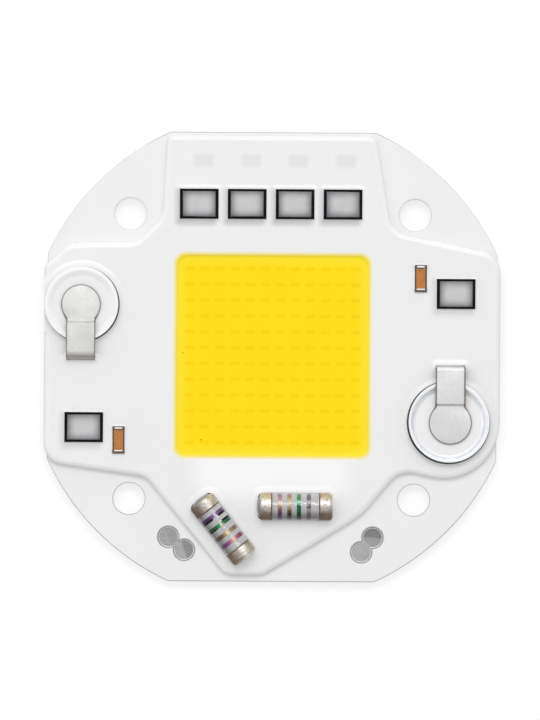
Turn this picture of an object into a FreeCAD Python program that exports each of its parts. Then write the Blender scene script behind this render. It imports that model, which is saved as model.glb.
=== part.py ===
import FreeCAD, Part
import math
import os

import Sketcher
from FreeCAD import Placement, Rotation, Vector

# Chip-on-board LED module for mains voltage: a round aluminium plate with four flats, a square
# light field in the middle, and the driver parts around it under white potting.
# Millimetres. The origin is at the centre of the plate's back face, and +Z points to the light.
SIZES = {
    # base plate: a disc with four flats, four screw holes and two pairs of blind spot faces
    "plate_flats": 60.0,
    "plate_bulge": 3.0,
    "plate_thick": 1.5,
    "hole_pitch": 38.0,
    "hole_bore": 4.2,
    "spot_bore": 2.85,
    "spot_depth": 0.35,
    "spot_round": 0.12,
    "spot_left_outer_x": -13.7,
    "spot_left_outer_in": 5.9,
    "spot_left_inner_x": -11.6,
    "spot_left_inner_in": 4.2,
    "spot_right_outer_x": 13.55,
    "spot_right_outer_in": 5.95,
    "spot_right_inner_x": 12.05,
    "spot_right_inner_in": 4.0,
    # circuit layers on the plate
    "insulation_thick": 0.1,
    "mask_thick": 0.12,
    "mask_inset": 0.12,
    "track_thick": 0.07,
    "track_width": 1.2,
    # light field: window, dam and dies
    "field_x": 0.05,
    "field_y": 0.16,
    "field_width": 25.95,
    "field_height": 27.1,
    "field_round": 1.9,
    "dam_width": 0.9,
    "dam_round": 0.3,
    "phosphor_sink": 0.14,
    "die_length": 1.15,
    "die_width": 0.5,
    "die_thick": 0.15,
    "die_margin_x": 1.33,
    "die_margin_y": 1.7,
    "die_columns": 12,
    "die_rows": 12,
    # white potting: depth over the mask, rounded rim, and the lap over the plate's edge
    "potting_depth": 1.18,
    "potting_round": 0.75,
    "potting_lap": 0.42,
    "lap_bottom": 0.35,
    # corners of the potting's foot: place and rounding
    "crown_margin": 0.4,
    "crown_left_x": -14.13,
    "crown_left_round": 1.0,
    "waist_left_x": -14.7,
    "waist_left_y": 18.6,
    "waist_left_round": 3.0,
    "shoulder_left_x": -18.2,
    "shoulder_left_y": 15.25,
    "shoulder_left_round": 2.0,
    "cheek_left_in": 3.22,
    "cheek_left_y": 15.05,
    "cheek_left_round": 3.0,
    "edge_left_upper_y": 12.0,
    "edge_left_upper_round": 0.9,
    "edge_left_lower_y": -14.15,
    "edge_left_lower_round": 2.8,
    "hip_left_x": -16.75,
    "hip_left_y": -16.05,
    "hip_left_round": 2.6,
    "chin_margin": 0.9,
    "chin_round": 2.0,
    "chin_left_x": -6.05,
    "chin_right_x": -1.1,
    "jaw_right_x": 11.9,
    "jaw_right_row": 0.44,
    "jaw_right_round": 10.0,
    "hip_right_x": 17.15,
    "hip_right_y": -15.0,
    "hip_right_round": 3.3,
    "edge_right_lower_y": -17.8,
    "edge_right_lower_round": 7.5,
    "edge_right_upper_y": 13.75,
    "edge_right_upper_round": 3.0,
    "waist_right_x": 15.8,
    "waist_right_y": 16.85,
    "waist_right_round": 3.0,
    "crown_right_x": 13.73,
    "crown_right_round": 1.3,
    # gull-wing packages: drivers in a row at the top, rectifiers at the sides
    "package_length": 5.28,
    "package_width": 4.12,
    "package_rise": 1.45,
    "package_standoff": 0.08,
    "package_draft": 7.0,
    "package_round": 0.1,
    "film_margin": 0.42,
    "film_thick": 0.12,
    "film_round": 0.09,
    "lead_width": 0.42,
    "lead_thick": 0.2,
    "lead_root": 0.4,
    "lead_reach": 1.0,
    "lead_foot": 0.55,
    "driver_lead_pitch": 1.27,
    "driver_leads": 4,
    "rectifier_lead_pitch": 2.54,
    "rectifier_leads": 2,
    "driver_count": 4,
    "driver_first_x": -9.84,
    "driver_pitch": 6.39,
    "driver_row": 0.375,
    "rectifier_left_in": 4.94,
    "rectifier_left_y": -9.5,
    "rectifier_right_in": 5.52,
    "rectifier_right_y": 8.55,
    # ceramic capacitors, long side along Y
    "capacitor_length": 3.66,
    "capacitor_width": 1.66,
    "capacitor_height": 1.5,
    "capacitor_end": 0.5,
    "capacitor_plating": 0.05,
    "capacitor_round": 0.12,
    "capacitor_left_shift": 4.65,
    "capacitor_left_y": -11.18,
    "capacitor_right_shift": 4.72,
    "capacitor_right_y": 10.57,
    # set resistors buried above the drivers, long side along X
    "chip_length": 2.4,
    "chip_width": 1.5,
    "chip_height": 0.5,
    "chip_end": 0.4,
    "chip_plating": 0.04,
    "chip_count": 4,
    "chip_first_x": -9.3,
    "chip_pitch": 6.33,
    "chip_row": 0.75,
    # round-bodied resistors
    "melf_length": 10.14,
    "melf_cap_across": 3.74,
    "melf_cap_length": 1.8,
    "melf_cap_wall": 0.3,
    "melf_cap_round": 0.6,
    "melf_coat_across": 3.38,
    "melf_straight_x": 3.12,
    "melf_straight_row": 0.358,
    "melf_slanted_x": -6.51,
    "melf_slanted_row": 0.545,
    "melf_slant": -51.6,
    # wire terminals: dished cup, fill and keyhole contact strip
    "cup_left_in": 4.615,
    "cup_left_y": 6.87,
    "cup_left_across": 10.07,
    "cup_right_in": 6.45,
    "cup_right_y": -8.6,
    "cup_right_across": 11.1,
    "cup_height": 2.15,
    "cup_sheet": 0.3,
    "cup_lip": 0.5,
    "cup_slope": 0.68,
    "cup_lip_round": 0.2,
    "fill_height": 1.75,
    "contact_left_shift_x": -0.13,
    "contact_left_shift_y": 0.01,
    "contact_left_across": 5.28,
    "contact_left_width": 3.84,
    "contact_left_neck": 2.17,
    "contact_left_reach": 7.15,
    "contact_right_shift_x": 0.25,
    "contact_right_shift_y": -0.05,
    "contact_right_across": 5.72,
    "contact_right_width": 4.0,
    "contact_right_neck": 2.27,
    "contact_right_reach": 7.41,
    "contact_thick": 0.3,
    "contact_clearance": 0.08,
    "contact_joggle": 60.0,
    "contact_bend": 0.45,
    "contact_foot": 0.9,
    "pad_margin": 0.2,
}


class Size:
    """A driving size, or a sum of driving sizes: its number and the expression that gives it."""

    def __init__(self, number, text):
        self.number = number
        self.text = text

    def join(self, sign, other, number, swap=False):
        left, right = (other, self) if swap else (self, other)
        return Size(number, "(%s %s %s)" % (left.text, sign, right.text))

    def __add__(self, other):
        other = as_size(other)
        return self.join("+", other, self.number + other.number)

    def __sub__(self, other):
        other = as_size(other)
        return self.join("-", other, self.number - other.number)

    def __rsub__(self, other):
        other = as_size(other)
        return self.join("-", other, other.number - self.number, swap=True)

    def __mul__(self, other):
        other = as_size(other)
        return self.join("*", other, self.number * other.number)

    def __truediv__(self, other):
        other = as_size(other)
        return self.join("/", other, self.number / other.number)

    def __neg__(self):
        return Size(-self.number, "(0 - %s)" % self.text)

    __radd__ = __add__
    __rmul__ = __mul__


def as_size(value):
    return value if isinstance(value, Size) else Size(float(value), repr(float(value)))


def tangent(angle):
    return Size(math.tan(math.radians(angle.number)), "tan(%s * 1 deg)" % angle.text)


os.makedirs("parts", exist_ok=True)
doc = FreeCAD.newDocument("chip_on_board_led")
sheet = doc.addObject("Spreadsheet::Sheet", "Sizes")


class Cells:
    """The sheet's cells as Size values, one attribute for each alias."""


cell = Cells()
for row, (alias, number) in enumerate(SIZES.items(), start=1):
    sheet.set("A%d" % row, alias)
    sheet.set("B%d" % row, str(number))
    sheet.setAlias("B%d" % row, alias)
    setattr(cell, alias, Size(float(number), "Sizes." + alias))
doc.recompute()

ZERO = as_size(0)
HALF_FLATS = cell.plate_flats / 2
INSULATION_TOP = cell.plate_thick + cell.insulation_thick
MASK_TOP = INSULATION_TOP + cell.mask_thick
POTTING_TOP = MASK_TOP + cell.potting_depth
DAM_HIGH = cell.field_y + cell.field_height / 2 + cell.dam_width
DAM_LOW = cell.field_y - cell.field_height / 2 - cell.dam_width
NEAR = 1e-3
LONGEST_REACH = 0.98
FULL_TURN = 360


def above(row):
    """Height of a row, by its share of the room between the dam and the upper flat."""
    return DAM_HIGH + (HALF_FLATS - DAM_HIGH) * row


def below(row):
    """Height of a row, by its share of the room between the dam and the lower flat."""
    return DAM_LOW - (HALF_FLATS + DAM_LOW) * row


# Helpers: bound properties, bodies, sketches and features

def bind(thing, name, value):
    """Set a property from a size, as an expression of the sheet."""
    thing.setExpression(name, as_size(value).text)


def place(thing, x=ZERO, y=ZERO, z=ZERO, turn=None):
    """Place a sub-part, turned about Z by a size in degrees."""
    bind(thing, "Placement.Base.x", x)
    bind(thing, "Placement.Base.y", y)
    bind(thing, "Placement.Base.z", z)
    if turn is not None:
        thing.Placement = Placement(Vector(), Rotation(Vector(0, 0, 1), turn.number))
        bind(thing, "Placement.Rotation.Angle", turn)


def new_body(label):
    return doc.addObject("PartDesign::Body", label)


def origin_feature(body, role):
    for feature in body.Origin.OriginFeatures:
        if feature.Role == role:
            return feature
    raise ValueError("no origin feature " + role)


def new_sketch(body, name, height=None, role="XY_Plane"):
    """A sketch on one of the body's origin planes, lifted along the plane's normal."""
    sketch = body.newObject("Sketcher::SketchObject", name)
    sketch.AttachmentSupport = [(origin_feature(body, role), "")]
    sketch.MapMode = "FlatFace"
    if height is not None:
        bind(sketch, "AttachmentOffset.Base.z", height)
    return sketch


def constrain(sketch, kind, *where, size):
    """Add a dimension to the sketch and bind it to a size."""
    size = as_size(size)
    index = sketch.addConstraint(Sketcher.Constraint(kind, *where, size.number))
    bind(sketch, "Constraints[%d]" % index, size)


def locate(sketch, geometry, point, x, y):
    """Fix one point of the sketch's geometry by its distances from the origin."""
    constrain(sketch, "DistanceX", -1, 1, geometry, point, size=x)
    constrain(sketch, "DistanceY", -1, 1, geometry, point, size=y)


def polygon(sketch, corners):
    """Closed outline of straight lines through the corners."""
    points = [Vector(as_size(x).number, as_size(y).number, 0) for x, y in corners]
    first = sketch.GeometryCount
    count = len(points)
    for index, point in enumerate(points):
        sketch.addGeometry(Part.LineSegment(point, points[(index + 1) % count]), False)
    for index, (x, y) in enumerate(corners):
        sketch.addConstraint(
            Sketcher.Constraint("Coincident", first + index, 2, first + (index + 1) % count, 1))
        locate(sketch, first + index, 1, x, y)


def rectangle(sketch, x, y, width, height):
    """Rectangle about a centre."""
    left, right = x - width / 2, x + width / 2
    low, high = y - height / 2, y + height / 2
    polygon(sketch, [(left, low), (right, low), (right, high), (left, high)])


def circle(sketch, x, y, across):
    """Circle about a centre, by its diameter."""
    centre = Vector(as_size(x).number, as_size(y).number, 0)
    radius = as_size(across).number / 2
    index = sketch.addGeometry(Part.Circle(centre, Vector(0, 0, 1), radius), False)
    locate(sketch, index, 3, x, y)
    constrain(sketch, "Diameter", index, size=across)


def fitted(corners, points):
    """The corners, with smaller roundings where two of them need more than the side between."""
    count = len(corners)
    reaches = []
    for index, (_, _, rounding) in enumerate(corners):
        back = points[index - 1] - points[index]
        ahead = points[(index + 1) % count] - points[index]
        reaches.append(as_size(rounding).number / math.tan(back.getAngle(ahead) / 2))
    shares = [points[index].distanceToPoint(points[(index + 1) % count]) * LONGEST_REACH
              / (reaches[index] + reaches[(index + 1) % count]) for index in range(count)]
    result = []
    for index, (x, y, rounding) in enumerate(corners):
        share = min(shares[index - 1], shares[index])
        result.append((x, y, rounding if share >= 1 else rounding * share))
    return result


def rounded_polygon(sketch, corners):
    """Closed outline, counterclockwise, whose corners (x, y, round) are tangent arcs."""
    count = len(corners)
    points = [Vector(as_size(x).number, as_size(y).number, 0) for x, y, _ in corners]
    corners = fitted(corners, points)
    arcs = []
    for index, (_, _, rounding) in enumerate(corners):
        point = points[index]
        back = (points[index - 1] - point).normalize()
        ahead = (points[(index + 1) % count] - point).normalize()
        half = back.getAngle(ahead) / 2
        radius = as_size(rounding).number
        centre = point + (back + ahead).normalize() * (radius / math.sin(half))
        reach = radius / math.tan(half)
        arcs.append((point + back * reach, point + ahead * reach, centre, radius,
                     back.cross(ahead).z < 0))
    first = sketch.GeometryCount
    for index in range(count):
        line = Part.LineSegment(arcs[index - 1][1], arcs[index][0])
        sketch.addGeometry(line, False)
    for enter, leave, centre, radius, outward in arcs:
        start, end = (enter, leave) if outward else (leave, enter)
        angles = [math.atan2((p - centre).y, (p - centre).x) for p in (start, end)]
        arc = Part.ArcOfCircle(Part.Circle(centre, Vector(0, 0, 1), radius), *angles)
        sketch.addGeometry(arc, False)
    for index, (x, y, rounding) in enumerate(corners):
        before, after = first + index, first + (index + 1) % count
        arc = first + count + index
        enter_end, leave_end = (1, 2) if arcs[index][4] else (2, 1)
        sketch.addConstraint(Sketcher.Constraint("Tangent", before, 2, arc, enter_end))
        sketch.addConstraint(Sketcher.Constraint("Tangent", after, 1, arc, leave_end))
        constrain(sketch, "Radius", arc, size=rounding)
        corner = sketch.addGeometry(Part.Point(points[index]), True)
        sketch.addConstraint(Sketcher.Constraint("PointOnObject", corner, 1, before))
        sketch.addConstraint(Sketcher.Constraint("PointOnObject", corner, 1, after))
        locate(sketch, corner, 1, x, y)


def rounded_rectangle(sketch, x, y, width, height, rounding):
    left, right = x - width / 2, x + width / 2
    low, high = y - height / 2, y + height / 2
    rounded_polygon(sketch, [(left, low, rounding), (right, low, rounding),
                             (right, high, rounding), (left, high, rounding)])


def flatted_disc(sketch, half_flats):
    """Disc with four flats, centred on the origin."""
    across = (half_flats + cell.plate_bulge) * 2
    radius = across.number / 2
    flat = half_flats.number
    chord = math.sqrt(radius ** 2 - flat ** 2)
    turn = math.atan2(chord, flat)
    for quarter in range(4):
        start = quarter * math.pi / 2
        spin = Rotation(Vector(0, 0, 1), math.degrees(start))
        low, high = spin.multVec(Vector(flat, -chord, 0)), spin.multVec(Vector(flat, chord, 0))
        sketch.addGeometry(Part.LineSegment(low, high), False)
        rim = Part.Circle(Vector(), Vector(0, 0, 1), radius)
        arc = Part.ArcOfCircle(rim, start + turn, start + math.pi / 2 - turn)
        sketch.addGeometry(arc, False)
    for quarter in range(4):
        line, arc, after = quarter * 2, quarter * 2 + 1, (quarter * 2 + 2) % 8
        sketch.addConstraint(Sketcher.Constraint("Coincident", line, 2, arc, 1))
        sketch.addConstraint(Sketcher.Constraint("Coincident", arc, 2, after, 1))
        sketch.addConstraint(Sketcher.Constraint("Coincident", arc, 3, -1, 1))
        constrain(sketch, "Diameter", arc, size=across)
        upright = quarter % 2 == 0
        side = half_flats if quarter in (0, 1) else -half_flats
        sketch.addConstraint(Sketcher.Constraint("Vertical" if upright else "Horizontal", line))
        constrain(sketch, "DistanceX" if upright else "DistanceY", -1, 1, line, 1, size=side)


def pad(body, sketch, length, down=False, draft=None, middle=False):
    feature = body.newObject("PartDesign::Pad", sketch.Name + "_pad")
    feature.Profile = sketch
    bind(feature, "Length", length)
    feature.Reversed = down
    feature.Midplane = middle
    if draft is not None:
        bind(feature, "TaperAngle", draft)
    sketch.Visibility = False
    return feature


def pocket(body, sketch, length, up=False, middle=False):
    """Cut the sketch out of the body, and make sure that the cut removes material."""
    doc.recompute()
    before = body.Shape.Volume
    feature = body.newObject("PartDesign::Pocket", sketch.Name + "_pocket")
    feature.Profile = sketch
    bind(feature, "Length", length)
    feature.Reversed = up
    feature.Midplane = middle
    doc.recompute()
    if body.Shape.Volume >= before:
        raise ValueError(sketch.Name + " cuts nothing")
    return feature


def fillet(body, radius, chosen):
    """Round the edges of the body's tip for which chosen(edge) is true."""
    doc.recompute()
    base = body.Tip
    names = ["Edge%d" % number for number, edge in enumerate(base.Shape.Edges, start=1)
             if chosen(edge)]
    if not names:
        raise ValueError(body.Name + " has no edge to round")
    feature = body.newObject("PartDesign::Fillet", body.Name + "_fillet")
    feature.Base = (base, names)
    bind(feature, "Radius", radius)
    doc.recompute()
    return feature


def level(edge, height):
    """True for an edge that lies at this height."""
    box = edge.BoundBox
    return abs(box.ZMin - height) < NEAR and abs(box.ZMax - height) < NEAR


def upright(edge):
    """True for a straight edge along Z."""
    box = edge.BoundBox
    return box.XLength < NEAR and box.YLength < NEAR


def pattern(body, feature, axis, pitch, count):
    """Repeat a feature along one of its sketch's axes."""
    repeat = body.newObject("PartDesign::LinearPattern", feature.Name + "_row")
    repeat.Originals = [feature]
    repeat.Direction = (origin_feature(body, axis), [""])
    repeat.Mode = "Spacing"
    bind(repeat, "Offset", pitch)
    bind(repeat, "Occurrences", count)
    body.Tip = repeat
    return repeat


def revolve(body, sketch, axis):
    """Turn the sketch about one of its own axes."""
    feature = body.newObject("PartDesign::Revolution", sketch.Name + "_turned")
    feature.Profile = sketch
    feature.ReferenceAxis = (sketch, [axis])
    feature.Angle = FULL_TURN
    sketch.Visibility = False
    return feature


def mirrored(body, features, role):
    """Mirror features about one of the body's origin planes."""
    feature = body.newObject("PartDesign::Mirrored", features[0].Name + "_mirror")
    feature.Originals = features
    feature.MirrorPlane = (origin_feature(body, role), [""])
    body.Tip = feature
    return feature


def fused(label, pieces):
    union = doc.addObject("Part::MultiFuse", label)
    union.Shapes = pieces
    union.Refine = False
    return union


def grouped(label, pieces):
    group = doc.addObject("Part::Compound", label)
    group.Links = pieces
    return group


def cut(label, base, tool):
    """Base less tool, checked to have lost material."""
    result = doc.addObject("Part::Cut", label)
    result.Base = base
    result.Tool = tool
    doc.recompute()
    if result.Shape.Volume >= base.Shape.Volume:
        raise ValueError(label + " lost nothing")
    return result


# Base plate and circuit layers

SPOTS = (("outer", ((cell.spot_left_outer_x, cell.spot_left_outer_in - HALF_FLATS),
                    (cell.spot_right_outer_x, cell.spot_right_outer_in - HALF_FLATS))),
         ("inner", ((cell.spot_left_inner_x, cell.spot_left_inner_in - HALF_FLATS),
                    (cell.spot_right_inner_x, cell.spot_right_inner_in - HALF_FLATS))))


def layer(label, bottom, thick, inset=ZERO):
    """A flatted disc with the four screw holes, set back from the plate's edges by the inset."""
    body = new_body(label)
    outline = new_sketch(body, label + "_outline", bottom)
    flatted_disc(outline, HALF_FLATS - inset)
    pad(body, outline, thick)
    holes = new_sketch(body, label + "_holes", bottom)
    offset = cell.hole_pitch / 2
    for x in (-offset, offset):
        for y in (-offset, offset):
            circle(holes, x, y, cell.hole_bore + inset * 2)
    pocket(body, holes, thick, up=True)
    return body


def cut_spots(body, name, bottom, depth, inset=ZERO):
    """Blind round spot faces, which overlap in pairs."""
    for row, centres in SPOTS:
        sketch = new_sketch(body, name + "_spots_" + row, bottom)
        for x, y in centres:
            circle(sketch, x, y, cell.spot_bore + inset * 2)
        pocket(body, sketch, depth, up=True)


def cut_field(body, name, bottom, depth):
    """Window for the light field."""
    sketch = new_sketch(body, name + "_window", bottom)
    rounded_rectangle(sketch, cell.field_x, cell.field_y, cell.field_width, cell.field_height,
                      cell.field_round)
    pocket(body, sketch, depth, up=True)


def make_plate():
    plate = layer("base_plate", ZERO, cell.plate_thick)
    floor = cell.plate_thick - cell.spot_depth
    cut_spots(plate, "plate", floor, cell.spot_depth)
    fillet(plate, cell.spot_round, lambda edge: level(edge, floor.number))
    return plate


def make_insulation():
    sheet_layer = layer("insulating_layer", cell.plate_thick, cell.insulation_thick)
    cut_spots(sheet_layer, "insulation", cell.plate_thick, cell.insulation_thick)
    cut_field(sheet_layer, "insulation", cell.plate_thick, cell.insulation_thick)
    return sheet_layer


def make_mask(pads, tracks):
    blank = layer("mask_blank", INSULATION_TOP, cell.mask_thick, cell.mask_inset)
    cut_spots(blank, "mask", INSULATION_TOP, cell.mask_thick, cell.mask_inset)
    cut_field(blank, "mask", INSULATION_TOP, cell.mask_thick)
    return cut("white_mask", cut("mask_over_tracks", blank, tracks), pads)


# Places of the parts on the board

DRIVERS = [cell.driver_first_x + cell.driver_pitch * index
           for index in range(int(cell.driver_count.number))]
CHIPS = [cell.chip_first_x + cell.chip_pitch * index
         for index in range(int(cell.chip_count.number))]
DRIVER_Y = above(cell.driver_row)
CHIP_Y = above(cell.chip_row)
RECTIFIER_LEFT_X = cell.rectifier_left_in - HALF_FLATS
RECTIFIER_RIGHT_X = HALF_FLATS - cell.rectifier_right_in
PACKAGES = [("driver_%d" % (index + 1), x, DRIVER_Y, cell.driver_lead_pitch,
             cell.driver_leads) for index, x in enumerate(DRIVERS)]
PACKAGES += [("rectifier_left", RECTIFIER_LEFT_X, cell.rectifier_left_y,
              cell.rectifier_lead_pitch, cell.rectifier_leads),
             ("rectifier_right", RECTIFIER_RIGHT_X, cell.rectifier_right_y,
              cell.rectifier_lead_pitch, cell.rectifier_leads)]
CAPACITORS = (("left", RECTIFIER_LEFT_X + cell.capacitor_left_shift, cell.capacitor_left_y),
              ("right", RECTIFIER_RIGHT_X - cell.capacitor_right_shift, cell.capacitor_right_y))
MELF_STRAIGHT_Y = below(cell.melf_straight_row)
MELFS = (("straight", cell.melf_straight_x, MELF_STRAIGHT_Y, ZERO),
         ("slanted", cell.melf_slanted_x, below(cell.melf_slanted_row), cell.melf_slant))
RIGHT_ANGLE = as_size(90)
UP, DOWN = as_size(0), as_size(180)
CUP_LEFT_X = cell.cup_left_in - HALF_FLATS
CUP_RIGHT_X = HALF_FLATS - cell.cup_right_in
CONTACT_LEFT_X = CUP_LEFT_X + cell.contact_left_shift_x
CONTACT_LEFT_Y = cell.cup_left_y + cell.contact_left_shift_y
CONTACT_RIGHT_X = CUP_RIGHT_X + cell.contact_right_shift_x
CONTACT_RIGHT_Y = cell.cup_right_y + cell.contact_right_shift_y
TERMINALS = (("left", CUP_LEFT_X, cell.cup_left_y, cell.cup_left_across,
              CONTACT_LEFT_X, CONTACT_LEFT_Y, cell.contact_left_across,
              cell.contact_left_width, cell.contact_left_neck, cell.contact_left_reach, DOWN),
             ("right", CUP_RIGHT_X, cell.cup_right_y, cell.cup_right_across,
              CONTACT_RIGHT_X, CONTACT_RIGHT_Y, cell.contact_right_across,
              cell.contact_right_width, cell.contact_right_neck, cell.contact_right_reach, UP))


# Gull-wing packages with their leads and films

def make_package(name, x, y, leads):
    """Moulded body with draft above and below its parting line, cut out where its leads enter."""
    half = cell.package_rise / 2
    body = new_body(name + "_resin")
    upper = new_sketch(body, name + "_upper", half)
    rectangle(upper, ZERO, ZERO, cell.package_length, cell.package_width)
    pad(body, upper, half, draft=-cell.package_draft)
    lower = new_sketch(body, name + "_lower", half)
    rectangle(lower, ZERO, ZERO, cell.package_length, cell.package_width)
    pad(body, lower, half, down=True, draft=-cell.package_draft)
    fillet(body, cell.package_round, lambda edge: level(edge, cell.package_rise.number))
    place(body, x, y, MASK_TOP + cell.package_standoff)
    return cut(name, body, leads)


def make_leads(name, x, y, pitch, count):
    """Two rows of bent leads, from inside the resin down to the pads."""
    body = new_body(name + "_leads")
    side = cell.package_width / 2
    inner = side - cell.lead_root
    middle = cell.package_standoff + cell.package_rise / 2
    low, high = middle - cell.lead_thick / 2, middle + cell.lead_thick / 2
    tip = side + cell.lead_reach
    heel = tip - cell.lead_foot
    profile = [(inner, low), (heel - cell.lead_thick, low), (heel - cell.lead_thick, ZERO),
               (tip, ZERO), (tip, cell.lead_thick), (heel, cell.lead_thick), (heel, high),
               (inner, high)]
    pair = new_sketch(body, name + "_lead", -(pitch * (count - 1) / 2), role="YZ_Plane")
    polygon(pair, profile)
    polygon(pair, [(-u, z) for u, z in reversed(profile)])
    pattern(body, pad(body, pair, cell.lead_width, middle=True), "X_Axis", pitch, count)
    place(body, x, y, MASK_TOP)
    return body


def make_film(name, x, y):
    """Thin pillow of potting left on the top of a package."""
    body = new_body(name + "_film")
    outline = new_sketch(body, name + "_film_outline")
    rectangle(outline, ZERO, ZERO, cell.package_length - cell.film_margin * 2,
              cell.package_width - cell.film_margin * 2)
    pad(body, outline, cell.film_thick)
    fillet(body, cell.film_margin, upright)
    fillet(body, cell.film_round, lambda edge: level(edge, cell.film_thick.number))
    place(body, x, y, MASK_TOP + cell.package_standoff + cell.package_rise)
    return body


# Capacitors and set resistors: a ceramic block with two plated ends

def make_block(name, x, y, length, width, height, plating, turn=None):
    body = new_body(name)
    outline = new_sketch(body, name + "_outline", plating)
    rectangle(outline, ZERO, ZERO, length - plating * 2, width - plating * 2)
    pad(body, outline, height - plating * 2)
    place(body, x, y, MASK_TOP, turn)
    return body


def make_ends(name, x, y, length, width, height, plating, end, turn=None, rounding=None):
    """Two cups of plating over the ends of the block."""
    body = new_body(name)
    outline = new_sketch(body, name + "_outline")
    middle = (length - end) / 2
    rectangle(outline, middle, ZERO, end, width)
    rectangle(outline, -middle, ZERO, end, width)
    pad(body, outline, height)
    if rounding is not None:
        outer = (length / 2).number
        fillet(body, rounding, lambda edge: abs(abs(edge.CenterOfMass.x) - outer) < NEAR)
    hollow = new_sketch(body, name + "_hollow", role="YZ_Plane")
    rectangle(hollow, ZERO, height / 2, width - plating * 2, height - plating * 2)
    pocket(body, hollow, length - plating * 2, middle=True)
    place(body, x, y, MASK_TOP, turn)
    return body


# Round-bodied resistors

def make_melf(name, x, y, turn):
    """Ceramic core with a lacquer coat between its two caps; the axis lies along X."""
    body = new_body(name)
    profile = new_sketch(body, name + "_profile", role="XZ_Plane")
    core = cell.melf_cap_across / 2 - cell.melf_cap_wall
    coat = cell.melf_coat_across / 2
    end = cell.melf_length / 2 - cell.melf_cap_wall
    shoulder = cell.melf_length / 2 - cell.melf_cap_length
    polygon(profile, [(-end, ZERO), (end, ZERO), (end, core), (shoulder, core),
                      (shoulder, coat), (-shoulder, coat), (-shoulder, core), (-end, core)])
    revolve(body, profile, "H_Axis")
    place(body, x, y, MASK_TOP + cell.melf_cap_across / 2, turn)
    return body


def make_caps(name, x, y, turn):
    """Pressed metal caps with rounded ends."""
    body = new_body(name)
    profile = new_sketch(body, name + "_profile", role="XZ_Plane")
    outer = cell.melf_cap_across / 2
    bore = outer - cell.melf_cap_wall
    end = cell.melf_length / 2
    lip = end - cell.melf_cap_length
    floor = end - cell.melf_cap_wall
    polygon(profile, [(floor, ZERO), (end, ZERO), (end, outer), (lip, outer), (lip, bore),
                      (floor, bore)])
    turned = revolve(body, profile, "H_Axis")
    rounded = fillet(body, cell.melf_cap_round, lambda edge: (
        abs(edge.BoundBox.XMin - end.number) < NEAR
        and abs(edge.BoundBox.ZMax - outer.number) < NEAR))
    mirrored(body, [turned, rounded], "YZ_Plane")
    place(body, x, y, MASK_TOP + outer, turn)
    return body


# Wire terminals

def make_cup(name, x, y, across):
    """Dished metal cup: a floor, an upright wall with a rounded lip, and a sloping inside."""
    body = new_body(name)
    profile = new_sketch(body, name + "_profile", role="XZ_Plane")
    outer = across / 2
    lip = outer - cell.cup_lip
    inner = lip - cell.cup_slope
    polygon(profile, [(ZERO, ZERO), (outer, ZERO), (outer, cell.cup_height),
                      (lip, cell.cup_height), (inner, cell.fill_height),
                      (inner, cell.cup_sheet), (ZERO, cell.cup_sheet)])
    revolve(body, profile, "V_Axis")
    fillet(body, cell.cup_lip_round, lambda edge: level(edge, cell.cup_height.number))
    place(body, x, y, MASK_TOP)
    return body


def make_cup_fill(name, x, y, across):
    """White fill inside the cup, level with the foot of its slope."""
    body = new_body(name)
    outline = new_sketch(body, name + "_outline", cell.cup_sheet)
    circle(outline, ZERO, ZERO, across - (cell.cup_lip + cell.cup_slope) * 2)
    pad(body, outline, cell.fill_height - cell.cup_sheet)
    place(body, x, y, MASK_TOP)
    return body


def keyhole(sketch, across, width, neck, length):
    """Round pad about the origin whose sides run straight to a tab along Y."""
    radius, half = across.number / 2, width.number / 2
    lean = math.atan2(half, neck.number) + math.acos(radius / math.hypot(half, neck.number))
    touch = Vector(radius * math.sin(lean), radius * math.cos(lean), 0)
    points = [touch, Vector(half, neck.number, 0), Vector(half, length.number, 0),
              Vector(-half, length.number, 0), Vector(-half, neck.number, 0),
              Vector(-touch.x, touch.y, 0)]
    for start, end in zip(points, points[1:]):
        sketch.addGeometry(Part.LineSegment(start, end), False)
    rim = Part.Circle(Vector(), Vector(0, 0, 1), radius)
    quarter = math.pi / 2
    arc = sketch.addGeometry(Part.ArcOfCircle(rim, quarter + lean, math.tau + quarter - lean), False)
    for line in range(4):
        sketch.addConstraint(Sketcher.Constraint("Coincident", line, 2, line + 1, 1))
    sketch.addConstraint(Sketcher.Constraint("Coincident", arc, 3, -1, 1))
    constrain(sketch, "Diameter", arc, size=across)
    sketch.addConstraint(Sketcher.Constraint("Tangent", 4, 2, arc, 1))
    sketch.addConstraint(Sketcher.Constraint("Tangent", 0, 1, arc, 2))
    for line, x, y in ((1, width / 2, neck), (2, width / 2, length),
                       (3, -(width / 2), length), (4, -(width / 2), neck)):
        locate(sketch, line, 1, x, y)


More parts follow.
